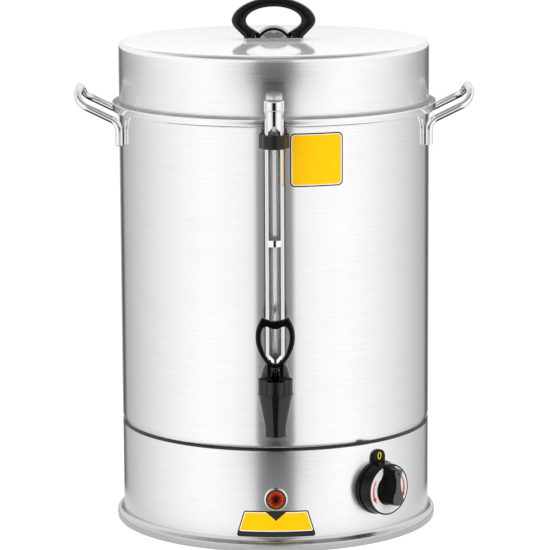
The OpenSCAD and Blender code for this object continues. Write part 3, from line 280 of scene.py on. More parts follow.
def wall_place(angle, z, radius):
    """Matrix that sets +Z outwards and +Y up at a place on the round wall."""
    turn = Matrix.Rotation(angle, 4, "Z")
    return turn @ Matrix.Translation((0, -radius, z)) @ Matrix.Rotation(math.pi / 2, 4, "X")


# Finishes


class Finish:
    """A Principled material with short calls for its texture nodes."""

    def __init__(self, name, sockets):
        self.material = bpy.data.materials.new(name)
        self.material.use_nodes = True
        self.tree = self.material.node_tree
        self.bsdf = self.tree.nodes["Principled BSDF"]
        for socket, value in sockets.items():
            self.bsdf.inputs[socket].default_value = value

    def node(self, kind, settings=None, **inputs):
        """A shader node, with i0, i1 and so on for its inputs by number."""
        made = self.tree.nodes.new("ShaderNode" + kind)
        for key, value in (settings or {}).items():
            setattr(made, key, value)
        for key, value in inputs.items():
            self.plug(made, int(key[1:]), value)
        return made

    def plug(self, made, index, value):
        """Links an output to an input, or sets the input to a number or colour."""
        if isinstance(value, bpy.types.NodeSocket):
            self.tree.links.new(value, made.inputs[index])
        else:
            made.inputs[index].default_value = value

    def math(self, operation, a, b=0.0):
        return self.node("Math", {"operation": operation}, i0=a, i1=b).outputs[0]

    def place(self):
        """Object coordinates, in metres."""
        return self.node("TexCoord").outputs["Object"]

    def noise(self, vector, scale, detail=3.0):
        made = self.node("TexNoise", {"noise_dimensions": "3D"})
        self.tree.links.new(vector, made.inputs["Vector"])
        made.inputs["Scale"].default_value = scale
        made.inputs["Detail"].default_value = detail
        return made.outputs[0]

    def ramp(self, factor, stops):
        """A colour ramp from (position, colour) stops."""
        made = self.node("ValToRGB", i0=factor)
        ramp = made.color_ramp
        while len(ramp.elements) < len(stops):
            ramp.elements.new(0.5)
        for element, (position, colour) in zip(ramp.elements, stops):
            element.position = position
            element.color = (*colour, 1) if len(colour) == 3 else colour
        return made.outputs[0]

    def vary(self, factor, low, high):
        """A factor from 0 to 1 mapped to a range."""
        return self.node("MapRange", i0=factor, i3=low, i4=high).outputs[0]

    def bump(self, height, strength, distance):
        made = self.node("Bump", i0=strength, i1=distance)
        self.tree.links.new(height, made.inputs["Height"])
        self.tree.links.new(made.outputs[0], self.bsdf.inputs["Normal"])

    def link(self, output, socket):
        self.tree.links.new(output, self.bsdf.inputs[socket])


def grey(value):
    return (value, value, value)


# Grain of the brushing: cells for each radian round the axis, and for each metre across the lines
LINES_ALONG = 4.0
LINES_ACROSS = 900.0


def brushed(name, tone, rough, streak, spread, relief=0.06, polished_and_pale_above=None):
    """Sheet brushed round the axis: fine lines, and gloss that smears across them, less so above a height. Above
    that height it is half matt, painted light that pales the dark things it mirrors.
    """
    finish = Finish(name, {"Metallic": 1.0, "Anisotropic": spread, "Anisotropic Rotation": 0.25})
    xyz = finish.node("SeparateXYZ", i0=finish.place()).outputs
    angle = finish.math("ARCTAN2", xyz[1], xyz[0])
    radius = finish.math("SQRT", finish.math("ADD", finish.math("MULTIPLY", xyz[0], xyz[0]),
                                             finish.math("MULTIPLY", xyz[1], xyz[1])))
    along = finish.math("MULTIPLY", angle, LINES_ALONG)
    across = finish.math("MULTIPLY", xyz[2], LINES_ACROSS)
    inwards = finish.math("MULTIPLY", radius, LINES_ACROSS)
    lines = finish.noise(finish.node("CombineXYZ", i0=along, i1=across, i2=inwards).outputs[0], 1.0, 4.0)
    clouds = finish.noise(finish.place(), 9.0, 2.0)
    shade = finish.math("ADD", finish.math("MULTIPLY", lines, 0.8), finish.math("MULTIPLY", clouds, 0.2))
    stops = [(0.3, grey(tone * (1 - streak))), (0.7, grey(tone * (1 + streak)))]
    finish.link(finish.ramp(shade, stops), "Base Color")
    gloss = finish.vary(lines, rough * 0.8, rough * 1.2)
    if polished_and_pale_above is not None:
        flat = finish.math("GREATER_THAN", xyz[2], polished_and_pale_above * MM)
        gloss = finish.math("MULTIPLY", gloss, finish.vary(flat, 1.0, 0.4))
        # Painted light: above the height only half of the sheet is metal, and its evenly lit matt half pales the
        # dark reflections of the knob's feet.
        finish.link(finish.vary(flat, 1.0, 0.5), "Metallic")
    finish.link(gloss, "Roughness")
    finish.bump(lines, relief, 0.00005)
    tangent = finish.node("Tangent", {"direction_type": "RADIAL", "axis": "Z"})
    finish.link(tangent.outputs[0], "Tangent")
    return finish.material


def plated(name, colour, rough, smear):
    """Polished metal with faint smears in its gloss."""
    finish = Finish(name, {"Metallic": 1.0})
    cloud = finish.noise(finish.place(), 40.0, 4.0)
    deep = tuple(c * 0.97 for c in colour)
    finish.link(finish.ramp(cloud, [(0.3, deep), (0.7, colour)]), "Base Color")
    finish.link(finish.vary(cloud, rough, rough + smear), "Roughness")
    return finish.material


def moulded(name, colour, rough, grain, shine=0.5):
    """Moulded plastic or rubber: a fine grain, and slightly uneven gloss and tone."""
    finish = Finish(name, {"Specular IOR Level": shine})
    cloud = finish.noise(finish.place(), 60.0, 3.0)
    light = tuple(min(1.0, c * 1.2 + 0.001) for c in colour)
    finish.link(finish.ramp(cloud, [(0.3, colour), (0.75, light)]), "Base Color")
    finish.link(finish.vary(cloud, rough * 0.85, rough * 1.15), "Roughness")
    finish.bump(finish.noise(finish.place(), 2500.0, 2.0), grain, 0.00004)
    return finish.material


def printed(name, colour, shine=0.08):
    """Ink under a thin clear film, with a faint unevenness."""
    finish = Finish(name, {"Specular IOR Level": shine, "Roughness": 0.36})
    cloud = finish.noise(finish.place(), 120.0, 2.0)
    deep = tuple(c * 0.94 for c in colour)
    finish.link(finish.ramp(cloud, [(0.3, deep), (0.7, colour)]), "Base Color")
    return finish.material


def guard_tube(name, axis_y, inner_r):
    """Polished tube whose inside is less metallic, and so paler where it faces dark things."""
    finish = Finish(name, {})
    cloud = finish.noise(finish.place(), 40.0, 4.0)
    xyz = finish.node("SeparateXYZ", i0=finish.place()).outputs
    ahead = finish.math("SUBTRACT", xyz[1], axis_y * MM)
    away = finish.math("SQRT", finish.math("ADD", finish.math("MULTIPLY", xyz[0], xyz[0]),
                                           finish.math("MULTIPLY", ahead, ahead)))
    inside = finish.math("LESS_THAN", away, inner_r * MM)
    finish.link(finish.ramp(cloud, [(0.3, grey(0.92)), (0.7, grey(0.95))]), "Base Color")
    finish.link(finish.vary(inside, 1.0, 0.5), "Metallic")
    finish.link(finish.vary(cloud, 0.008, 0.02), "Roughness")
    return finish.material


def clear_glass(name):
    """Clear glass with a faint haze."""
    finish = Finish(name, {"Transmission Weight": 1.0, "IOR": 1.47, "Base Color": (*grey(0.985), 1)})
    haze = finish.noise(finish.place(), 90.0, 3.0)
    finish.link(finish.vary(haze, 0.0, 0.012), "Roughness")
    return finish.material


def lamp_plastic(name, centre, lens_r):
    """Red translucent plastic, darker and mottled towards its middle, amber at its rim."""
    finish = Finish(name, {"Transmission Weight": 0.15, "IOR": 1.49, "Specular IOR Level": 0.08})
    middle = tuple(Vector(centre) * MM)
    away = finish.node("VectorMath", {"operation": "DISTANCE"}, i0=finish.place(), i1=middle)
    mottle = finish.noise(finish.place(), 420.0, 2.0)
    reach = finish.math("MULTIPLY", away.outputs["Value"], 1 / (lens_r * MM))
    uneven = finish.math("MULTIPLY", finish.math("SUBTRACT", mottle, 0.5), 0.9)
    depth = finish.math("ADD", reach, uneven)
    stops = [
        (0.28, (0.02, 0.001, 0.0)), (0.5, (0.2, 0.003, 0.0)),
        (0.78, (0.42, 0.025, 0.0)), (1.0, (0.8, 0.22, 0.0)),
    ]
    finish.link(finish.ramp(depth, stops), "Base Color")
    finish.link(finish.vary(mottle, 0.08, 0.2), "Roughness")
    return finish.material


# Finishes by slot, and after them those of single pieces
FINISHES = {
    "brushed_steel": brushed("brushed_steel", 0.95, 0.155, 0.03, 0.85),
    "plain_steel": brushed("plain_steel", 0.86, 0.34, 0.05, 0.4),
    "chrome": plated("chrome", grey(0.95), 0.012, 0.03),
    "gloss_black": moulded("gloss_black", grey(0.005), 0.08, 0.02, 0.5),
    "satin_black": moulded("satin_black", grey(0.006), 0.34, 0.06, 0.36),
    "rubber": moulded("rubber", grey(0.005), 0.5, 0.1, 0.2),
    "glass": clear_glass("glass"),
    "moulded_white": moulded("moulded_white", (0.8, 0.78, 0.7), 0.42, 0.05),
    "copper": plated("copper", (0.72, 0.42, 0.26), 0.22, 0.1),
    "element_steel": plated("element_steel", grey(0.38), 0.38, 0.12),
    "dial_grey": printed("dial_grey", grey(0.7), 0.2),
    "lead_red": moulded("lead_red", (0.4, 0.03, 0.025), 0.5, 0.08),
}
SOFT_STEEL = brushed("soft_steel", 0.96, 0.23, 0.03, 0.5, 0.04, lid_high.z - 0.6)
BASE_STEEL = brushed("base_steel", 0.95, 0.23, 0.03, 0.75)
# Painted shade: a darker copy of the base's steel for its flare and hem.
SHADED_FOOT_STEEL = brushed("shaded_foot_steel", 0.7, 0.26, 0.03, 0.6)
# Painted light: pale matt steel for the inside of the rim, which the lid's foot mirrors.
LIT_LIP_STEEL = moulded("lit_lip_steel", grey(0.8), 0.4, 0.03)
# Painted shade: a darker copy of the chrome for the knob plate and its dome, standing in for the dark things they
# mirror.
SHADED_CHROME = plated("shaded_chrome", grey(0.56), 0.012, 0.03)
glass_low, glass_high = span("gauge_glass")
GUARD = guard_tube("guard_tube", (glass_low.y + glass_high.y) / 2, inner_r=9.0)
DEEP_BLACK = moulded("deep_black", grey(0.002), 0.07, 0.01, 0.28)
KNOB_BLACK = moulded("knob_black", grey(0.003), 0.26, 0.05, 0.22)
# Painted light and shade on the heat knob's grip: a lighter black for its front, a darker black for its sides.
GRIP_LIT_FRONT = moulded("grip_lit_front", grey(0.05), 0.45, 0.08)
GRIP_SHADED_SIDE = moulded("grip_shaded_side", grey(0.002), 0.3, 0.05, 0.07)
# A black ring in the groove between tank and base, which draws the dark line at the seam.
SEAM_RING_BLACK = moulded("seam_ring_black", grey(0.004), 0.1, 0.02)
lens_low, lens_high = span("lamp_lens")
lens_centre = ((lens_low.x + lens_high.x) / 2, lens_low.y, (lens_low.z + lens_high.z) / 2)
FINISHES["lamp_amber"] = lamp_plastic("lamp_amber", lens_centre, lens_r=9.5)
INK_YELLOW = printed("ink_yellow", (0.93, 0.52, 0.0))
INK_DARK = printed("ink_dark", grey(0.026))
INK_WHITE = printed("ink_white", grey(0.88))
INK_RED = printed("ink_red", (0.62, 0.03, 0.02))
INK_LEMON = printed("ink_lemon", (0.82, 0.76, 0.0))


def dress(node):
    """Gives a CAD node the finish of its slot."""
    shape = nodes[node]
    shape.data.materials.clear()
    shape.data.materials.append(FINISHES[slot_of[node]])


for node in nodes:
    dress(node)
nodes["gauge_guard"].data.materials[0] = GUARD
nodes["dial_plate"].data.materials[0] = KNOB_BLACK
nodes["base_seal"].data.materials[0] = SEAM_RING_BLACK


# Shells: turned sheets with the rounded edges that folded steel has

body_of = {node: body for body, rows in frame["record"]["behaviour"]["bodies"].items() for node in rows}


def shell(name, profile, node, finish):
    """A turned sheet that stands for a CAD node."""
    verts, faces = revolve(profile, steps=256)
    return piece(name, verts, faces, body_of[node], finish, slot_of[node], (node,))


def lighten_lip_inside(wall):
    """Painted light: the inside of the rim gets a pale matt copy of the steel, so that the lid's foot mirrors a
    light band there.
    """
    wall.data.materials.append(LIT_LIP_STEEL)
    for face in wall.data.polygons:
        reach = face.center.xy.length / MM
        if face.center.z / MM > rim_z and reach < lip_r - 0.7 * SHEET:
            face.material_index = 1


def shade_foot(wall):
    """Painted shade: the flare and hem of the base get a darker copy of the wall's steel."""
    wall.data.materials.append(SHADED_FOOT_STEEL)
    for face in wall.data.polygons:
        if face.center.z / MM < FOOT_H + FLARE:
            face.material_index = 1


def tank_profile():
    edge, step, bend = 20.0, 1.2, 2.4
    outer = [(0, tank_floor), (tank_r - edge, tank_floor)]
    outer += arc((tank_r - edge, tank_floor + edge), edge, -90, 0, 14)
    outer += arc((tank_r + step, rim_z - step), step, 180, 90, 5)
    outer += arc((lip_r - bend, rim_z + bend), bend, -90, 0, 8)
    outer += arc((lip_r - SHEET / 2, lip_top - SHEET / 2), SHEET / 2, 0, 180, 6)
    inner = arc((lip_r - bend, rim_z + bend), bend - SHEET, 0, -90, 6)
    inner += [(tank_r - SHEET, rim_z + SHEET)]
    inner += arc((tank_r - edge, tank_floor + edge), edge - SHEET, 0, -90, 10)
    return outer + inner + [(0, tank_floor + SHEET)]


def lid_profile():
    edge = 7.0
    outer = [(0, lid_high.z), (lid_r - edge, lid_high.z)]
    outer += arc((lid_r - edge, lid_high.z - edge), edge, 90, 0, 10)
    outer += arc((lid_r - SHEET / 2, lid_low.z + SHEET / 2), SHEET / 2, 0, -180, 6)
    inner = arc((lid_r - edge, lid_high.z - edge), edge - SHEET, 0, 90, 8)
    return outer + inner + [(0, lid_high.z - SHEET)]


def base_profile():
    hem, edge = 16.0, 1.2
    flare_centre = (base_r + FLARE, FOOT_H + FLARE)
    outer = [(foot_r - hem, 0), (foot_r - edge, 0)]
    outer += arc((foot_r - edge, edge), edge, -90, 0, 5)
    outer += arc((foot_r - edge, FOOT_H - edge), edge, 0, 90, 5)
    outer += arc(flare_centre, FLARE, -90, -180, 8)
    outer += arc((base_r - SHEET / 2, base_top - SHEET / 2), SHEET / 2, 0, 180, 6)
    inner = arc(flare_centre, FLARE + SHEET, 180, 270, 8)
    inner += [(foot_r - SHEET, FOOT_H - SHEET), (foot_r - SHEET, SHEET), (foot_r - hem, SHEET)]
    return outer + inner


lighten_lip_inside(shell("tank_wall", tank_profile(), "body_shell", FINISHES["brushed_steel"]))
shell("lid_cover", lid_profile(), "lid_shell", SOFT_STEEL)
shade_foot(shell("base_wall", base_profile(), "base_shell", BASE_STEEL))


# Handles: one bent rod each


def handle_line():
    """The rod's middle line as (point, side normal), from one foot to the other."""
    rod_r, width, foot, drop = 4.0, 90.0, 16.0, 34.5
    in_r, slope, arm, out_r, grip, tail, corner = 14.0, 26.0, 30.0, 16.0, 70.0, 4.5, 21.0
    bend_steps, straight_steps = 24, 8
    x = math.sqrt((tank_r + rod_r + 0.1) ** 2 - (width / 2) ** 2)
    stations = [(Vector((x, rim_z - drop + t)), 90.0) for t in (0, foot / 3, foot * 2 / 3)]

    def head(angle):
        return Vector((math.cos(math.radians(angle)), math.sin(math.radians(angle))))

    side = Vector((x, rim_z - drop + foot))
    heading = 90.0
    for radius, target, straight in ((in_r, slope, arm), (out_r, grip, tail)):
        turn = math.copysign(1, target - heading)
        centre = side + radius * turn * head(heading + 90)
        start = heading
        for i in range(bend_steps + 1):
            heading = start + (target - start) * i / bend_steps
            stations.append((centre - radius * turn * head(heading + 90), heading))
        side = stations[-1][0]
        for i in range(1, straight_steps + 1):
            stations.append((side + straight * i / straight_steps * head(target), heading))
        side = stations[-1][0]
    runs = [0.0]
    for (a, _), (b, _) in zip(stations, stations[1:]):
        runs.append(runs[-1] + (b - a).length)

    def at(run):
        for k in range(len(runs) - 1):
            if run <= runs[k + 1] + 1e-9:
                t = (run - runs[k]) / (runs[k + 1] - runs[k])
                point = stations[k][0].lerp(stations[k + 1][0], t)
                return point, stations[k][1] + (stations[k + 1][1] - stations[k][1]) * t
        return stations[-1]

    corner_at = runs[-1] - corner
    half = [(run, width / 2) for run in runs if run < corner_at - 0.5]
    for i in range(bend_steps + 1):
        a = math.pi / 2 * i / bend_steps
        half.append((corner_at + corner * math.sin(a), width / 2 - corner * (1 - math.cos(a))))
    line = half + [(run, -y) for run, y in reversed(half)]
    path = []
    for run, y in line:
        point, angle = at(run)
        normal = head(angle + 90)
        path.append((Vector((point.x, y, point.y)), Vector((normal.x, 0, normal.y))))
    return path, rod_r


def handle(name, node, flip):
    """A rod along the line, narrowed at its two ends."""
    path, rod_r = handle_line()
    sides, narrow, drawn_in = 28, 0.25, 1.0
    angles = [2 * math.pi * k / sides for k in range(sides)]
    last = len(path) - 1
    rings = []
    for i, (point, normal) in enumerate(path):
        along = (path[min(i + 1, last)][0] - path[max(i - 1, 0)][0]).normalized()
        across = along.cross(normal).normalized()
        rings.append([point + (math.cos(a) * normal + math.sin(a) * across) * rod_r for a in angles])
    tips = [[p + (path[end][0] - p) * narrow for p in rings[end]] for end in (0, last)]
    for ring, end, beside in ((0, 0, 1), (last - 1, last, last - 1)):
        outwards = (path[end][0] - path[beside][0]).normalized()
        rings[ring] = [p - outwards * drawn_in for p in rings[ring]]
    skin = [[tuple(p) for p in ring] for ring in (tips[0], *rings, tips[1])]
    verts, faces = loft(skin)
    turn = Matrix.Rotation(math.pi if flip else 0.0, 4, "Z")
    slot = slot_of[node]
    piece(name, *moved((verts, faces), turn), body_of[node], FINISHES[slot], slot, (node,))


handle("rod_handle_right", "handle_right", False)
handle("rod_handle_left", "handle_left", True)


# Loop knob on the lid


def mirrored(half, middle, closed):
    """A half outline, its middle point and its mirror image."""
    back = half[:0:-1] if closed else half[::-1]
    return half + [middle] + [(-x, z) for x, z in back]


def loop_knob():
    top, half, foot, low, waist, n = 45.0, 44.5, 31.7, 3.5, 20.5, 20
    bar_side, bar_top, inner_foot, depth = 15.4, 10.0, 19.8, 22.0
    knee = (foot + 4.3, low + 4.2)
    nib = (inner_foot - 3.2, low + 4.8)
    slot = half - bar_side
    outer = bezier((foot, low), (foot + 1.4, low + 1.2), (knee[0] - 1.4, knee[1] - 1.5), knee, n)
    outer += bezier(knee, (knee[0] + 4.5, knee[1] + 4.5), (half, waist - 5), (half, waist), n)
    outer += bezier((half, waist), (half, waist + 12), (0.54 * half, top), (0, top), n)
    inner = bezier((inner_foot, low), (inner_foot - 0.6, low + 1.4), (nib[0] + 0.2, nib[1] - 1.5), nib, n)
    inner += bezier(nib, (nib[0] + 4.6, nib[1] + 3.6), (slot, waist - 6), (slot, waist), n)
    inner += bezier((slot, waist), (slot, waist + 8), (0.36 * half, top - bar_top), (0, top - bar_top), n)
    outer = mirrored(outer, (0, top), False)
    inner = mirrored(inner, (0, top - bar_top), False)
    verts, faces = loft(band(outer, inner, [depth - 6 * z / top for _, z in outer], sides=40))
    piece("loop_knob", verts, faces, "lid", DEEP_BLACK, "gloss_black", ("lid_knob",),
          Matrix.Translation((0, 0, lid_high.z)))


def knob_plate():
    """Chrome plate under the loop with a dome on it, and the stud that holds both to the lid."""
    wide, deep, thick, bevel, dome_r, dome_h = 31.7, 21.0, 3.5, 0.5, 19.5, 12.0
    corner_r, stud_r, stud_run = 3.0, 4.0, 12.1
    corners = [(-wide, -deep), (wide, -deep), (wide, deep), (-wide, deep)]
    outline = rounded(corners, [corner_r] * 4, 8)
    short = rounded(inset(corners, bevel), [corner_r - bevel] * 4, 8)
    rings = [
        [(x, y, z) for x, y in ring]
        for ring, z in ((outline, 0.0), (outline, thick - bevel), (short, thick))
    ]
    ball_r = (dome_r**2 + dome_h**2) / (2 * dome_h)
    reach = math.degrees(math.asin(dome_r / ball_r))
    dome = [(0, 0)] + arc((0, dome_h - ball_r), ball_r, 90 - reach, 90, 24)
    stud = [(0, -stud_run), (stud_r - 0.5, -stud_run), (stud_r, 0.5 - stud_run), (stud_r, 0.0), (0, 0.0)]
    verts, faces = joined(
        loft(rings),
        moved(revolve(dome, steps=96), Matrix.Translation((0, 0, thick))),
        revolve(stud, steps=48),
    )
    # Painted shade: the plate and dome get the darker copy of the chrome.
    piece("knob_plate", verts, faces, "lid", SHADED_CHROME, "chrome", ("knob_dome",),
          Matrix.Translation((0, 0, lid_high.z)))


loop_knob()
knob_plate()


# Tap lever: a heart-shaped loop on a fork with a cam under each cheek


def cam_point(angle, rate=7.0, rise=9.0):
    """Underside of the fork: an even lift of the pin for each degree of turn."""
    a = math.radians(angle)
    lift = rise + rate * a
    return -rate * math.cos(a) - lift * math.sin(a), rate * math.sin(a) - lift * math.cos(a)


def tap_lever():
    low, bar, low_bar, half, height, depth, n = 4.2, 5.8, 4.4, 20.0, 56.5, 7.0, 22
    waist, horn = height - 21, half - 6.5
    outer = bezier((0, low), (0.45 * half, low), (half, waist - 14), (half, waist), n)
    outer += bezier((half, waist), (half, waist + 9.5), (half - 2.5, height - 6), (horn, height), n)
    outer += bezier((horn, height), (horn - 4, height - 2), (5, height - 4), (0, height - 4), n)
    side = half - bar
    inner = bezier((0, low + low_bar), (6.5, low + low_bar), (side, waist - 12), (side, waist), n)
    inner += bezier((side, waist), (side, waist + 6), (horn - 0.5, waist + 9.5), (horn - 3, waist + 11), n)
    inner += bezier((horn - 3, waist + 11), (horn - 6, waist + 12.5), (6, waist + 8.7), (0, waist + 8.7), n)
    outer = mirrored(outer, (0, height - 4), True)
    inner = mirrored(inner, (0, waist + 8.7), True)
    hoop = loft(band(outer, inner, [depth] * len(outer), sides=28), closed=True)
    cam_reach, cam_steps = 42, 20
    cheek_t, cheek_edge, fork_half = 4.0, 0.5, 4.25
    outline = [cam_point(cam_reach * i / cam_steps) for i in range(cam_steps + 1)]
    outline += [(-depth / 2 - 1.5, 4), (-depth / 2 + 0.8, 12)]
    outline += [(depth / 2 - 0.8, 12), (depth / 2 + 1.5, 4), (7.0, -9.0)]
    upright = Matrix.Rotation(math.pi / 2, 4, "Z") @ Matrix.Rotation(math.pi / 2, 4, "X")
    cheeks = []
    for x in (-fork_half - cheek_t, fork_half):
        cheek = prism(outline, cheek_t, cheek_edge)
        cheeks.append(moved(cheek, Matrix.Translation((x, 0, 0)) @ upright))
    verts, faces = joined(hoop, *cheeks)
    piece("finger_lever", verts, faces, "lever", DEEP_BLACK, "gloss_black", ("tap_lever",),
          Matrix.Translation(PIN))


tap_lever()


def coil_spring():
    """The tap's spring: a coil between the seat cup and the bonnet."""
    low, high = span("plunger_spring")
    radius, wire_r, turns, sides = 6.5, 0.6, 5, 12
    steps = 32 * turns
    up = Vector((0, 0, 1))
    angles = [2 * math.pi * k / sides for k in range(sides)]
    rings = []
    for i in range(steps + 1):
        a = 2 * math.pi * turns * i / steps
        out = Vector((math.cos(a), math.sin(a), 0))
        rise = low.z + wire_r + (high.z - low.z - 2 * wire_r) * i / steps
        centre = Vector((0, PIN.y, rise)) + radius * out
        rings.append([tuple(centre + wire_r * (math.cos(b) * out + math.sin(b) * up)) for b in angles])
    verts, faces = loft(rings)
    slot = slot_of["plunger_spring"]
    coil = piece("coil_spring", verts, faces, None, FINISHES[slot], slot, ("plunger_spring",), sharp=60)
    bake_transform(coil)


coil_spring()


# Heat knob: skirt with a rounded edge, wing grip with a flat front


def knob_grip():
    """Waisted wing: a keyhole at the knob's face that draws in to a narrow front."""
    length, bore, n = 42.0, 33.0, 14
    hub = bore / 2 - 0.4
    tip = length - hub
    neck = bore / 4 - 0.6
    wide = 0.46 * hub
    low = [
        (0, tip), (0.9 * neck, tip), (neck, tip - 0.5), (neck, tip - 4),
        (neck, 0.48 * tip), (0.96 * hub, 0.4 * tip), (hub, 0),
        (hub, -0.6 * hub), (0.56 * hub, -hub), (0, -hub),
    ]
    front = tip - 2.6
    heel = 1.5 - hub
    high = [
        (0, front), (0.7 * neck, front), (0.66 * neck, front - 0.5), (0.66 * neck, front - 4),
        (0.17 * neck, 0.44 * tip), (0.43 * neck, 0.12 * tip), (wide, -0.55 * hub),
        (wide, -0.8 * hub), (0.6 * wide, heel), (0, heel),
    ]
    levels = [
        (-0.03, 0.0), (0.05, 0.05), (0.1, 0.18), (0.16, 0.32), (0.26, 0.52), (0.4, 0.68), (0.55, 0.79),
        (0.7, 0.88), (0.85, 0.935), (0.94, 0.965), (0.98, 0.985), (1.0, 1.04),
    ]
    rings = []
    for height, share in levels:
        c = [Vector(a).lerp(Vector(b), share) for a, b in zip(low, high)]
        half = []
        for i in (0, 3, 6):
            half += bezier(*c[i:i + 4], n)
        outline = half + [tuple(c[9])] + [(-x, y) for x, y in half[:0:-1]]
        rings.append([(x, y, height * GRIP_H) for x, y in outline])
    return loft(rings)


def heat_knob():
    """Skirt with a groove for the dial ring, and the grip, whose front gets a lighter copy of the black as a
    painted highlight and whose sides get a darker copy as painted shade.
    """
    skirt_r, draft, edge, foot, groove = 27.5, 0.5, 0.6, 0.4, 0.5
    place = wall_place(DIAL_ANGLE, DIAL_Z, base_r + KNOB_LOW)
    profile = [(0, foot), (skirt_r - 0.5, foot), (skirt_r - 0.1, 2 * foot)]
    profile += arc((skirt_r - draft - edge, KNOB_DEPTH - edge), edge, 0, 90, 6)
    profile += [(DIAL_OUT, KNOB_DEPTH), (DIAL_OUT, KNOB_DEPTH - groove)]
    profile += [(DIAL_IN, KNOB_DEPTH - groove), (DIAL_IN, KNOB_DEPTH), (0, KNOB_DEPTH)]
    skirt = revolve(profile, steps=128)
    verts, faces = joined(skirt, moved(knob_grip(), Matrix.Translation((0, 0, KNOB_DEPTH))))
    knob = piece("knob_grip", verts, faces, "heat_knob", KNOB_BLACK, "gloss_black", ("thermostat_knob",),
                 place, 35)
    knob.data.materials.append(GRIP_LIT_FRONT)
    knob.data.materials.append(GRIP_SHADED_SIDE)
    outwards = (place.to_3x3() @ Vector((0, 0, 1))).normalized()
    # Painted highlight on the grip's front faces, painted shade on its sides.
    for face in knob.data.polygons:
        height = (place.inverted() @ (face.center / MM)).z - KNOB_DEPTH
        if height > 0.97 * GRIP_H and face.normal.dot(outwards) > 0.9:
            face.material_index = 1
        elif height > 0.2:
            face.material_index = 2


def dial_face():
    """The printed ring on the knob's face, open where the grip stands."""
    gap, thick, steps = 8.25, 0.45, 96
    low, high = KNOB_DEPTH - thick, KNOB_DEPTH
    start = math.asin(gap / DIAL_OUT)
    begin = math.asin(gap / DIAL_IN)
    rings = []
    for i in range(steps + 1):
        t = i / steps
        a = start + (2 * math.pi - 2 * start) * t
        b = begin + (2 * math.pi - 2 * begin) * t
        far = (DIAL_OUT * math.sin(a), DIAL_OUT * math.cos(a))
        near = (DIAL_IN * math.sin(b), DIAL_IN * math.cos(b))
        rings.append([(*near, low), (*far, low), (*far, high), (*near, high)])
    verts, faces = loft(rings)
    piece("dial_face", verts, faces, "heat_knob", FINISHES["dial_grey"], "dial_grey", ("dial_ring",),
          wall_place(DIAL_ANGLE, DIAL_Z, base_r + KNOB_LOW))


dial_face()
heat_knob()


# Prints and labels: thin plates, each a little prouder than the one under it

LABEL_SLOT = "dial_grey"
PRINT_GAP = 0.02
PRINT_T = 0.12
BORDER_T = 0.18
LINE_T = 0.23
FIELD_T = 0.28
POINTER_T = 0.33
LINE_IN = 1.3
FIELD_IN = 2.1


def column(outline, x):
    """Lowest and highest point of a convex outline at x."""
    heights = []
    for (x0, z0), (x1, z1) in zip(outline, outline[1:] + outline[:1]):
        if min(x0, x1) - 1e-4 <= x <= max(x0, x1) + 1e-4:
            flat = abs(x1 - x0) < 1e-4
            heights += [z0, z1] if flat else [z0 + (z1 - z0) * (x - x0) / (x1 - x0)]
    return min(heights), max(heights)


def wall_plate(name, outline, wall_r, thick, finish):
    """A convex outline of (distance round the wall, height) laid on the wall as a thin plate."""
    radius = wall_r + PRINT_GAP
    steps = 24
    low = min(x for x, _ in outline)
    high = max(x for x, _ in outline)
    stops = sorted([x for x, _ in outline] + [low + (high - low) * i / steps for i in range(steps + 1)])
    xs = [x for x, ahead in zip(stops, stops[1:]) if ahead - x > 1e-4] + [high]
    rings = []
    for x in xs:
        z0, z1 = column(outline, x)
        a = x / radius
        near = (radius * math.sin(a), -radius * math.cos(a))
        far = ((radius + thick) * math.sin(a), -(radius + thick) * math.cos(a))
        rings.append([(*near, z0), (*far, z0), (*far, z1), (*near, z1)])
    verts, faces = loft(rings)
    piece(name, verts, faces, "dispenser", finish, LABEL_SLOT, sharp=25)


def label(name, wall_r, plate, field, radii):
    """A dark plate with a yellow field and a white line round the field."""
    rows = (
        ("_border", plate, BORDER_T, INK_DARK),
        ("_line", inset(field, LINE_IN), LINE_T, INK_WHITE),
        ("_field", inset(field, FIELD_IN), FIELD_T, INK_YELLOW),
    )
    for (part, corners, thick, ink), radius in zip(rows, radii):
        wall_plate(name + part, rounded(corners, [radius] * len(corners)), wall_r, thick, ink)


tank_plate = [(16.0, 381.0), (72.0, 381.0), (72.0, 436.0), (16.0, 436.0)]
label("tank_label", tank_r, tank_plate, tank_plate, (5.0, 4.0, 3.4))
lamp_plate = [(-42.0, 14.6), (42.0, 14.6), (33.4, 42.4), (-33.4, 42.4)]
lamp_field = [(-40.6, 19.2), (40.6, 19.2), (33.4, 42.4), (-33.4, 42.4)]
label("lamp_label", base_r, lamp_plate, lamp_field, (2.5, 1.4, 1.0))
wall_plate("lamp_pointer", [(-11.0, 41.6), (0.0, 32.0), (11.0, 41.6)], base_r, POINTER_T, INK_DARK)


def flat_print(name, outlines, height, finish, body):
    """Flat figures on the face of the heat control."""
    parts = []
    for outline in outlines:
        parts.append(loft([[(x, y, z) for x, y in outline] for z in (0.0, PRINT_T)]))
    verts, faces = joined(*parts)
    place = wall_place(DIAL_ANGLE, DIAL_Z, base_r + height)
    piece(name, verts, faces, body, finish, LABEL_SLOT, place=place)


def arc_arrow(start, end, inner, outer):
    """A curved arrow that grows towards its head, angles in degrees."""
    head, tail, wing_share, steps = 18, 0.45, 1.1, 20
    middle = (inner + outer) / 2
    shaft_end = end - head * math.copysign(1, end - start)
    rim = []
    core = []

    def widen(half, angle):
        rim.append(((middle + half) * math.cos(angle), (middle + half) * math.sin(angle)))
        core.append(((middle - half) * math.cos(angle), (middle - half) * math.sin(angle)))

    for i in range(steps + 1):
        t = i / steps
        half = (outer - inner) / 2 * (tail + (1 - tail) * t)
        widen(half, math.radians(start + (shaft_end - start) * t))
    widen((outer - inner) * wing_share, math.radians(shaft_end))
    tip = math.radians(end)
    return rim + [(middle * math.cos(tip), middle * math.sin(tip))] + core[::-1]


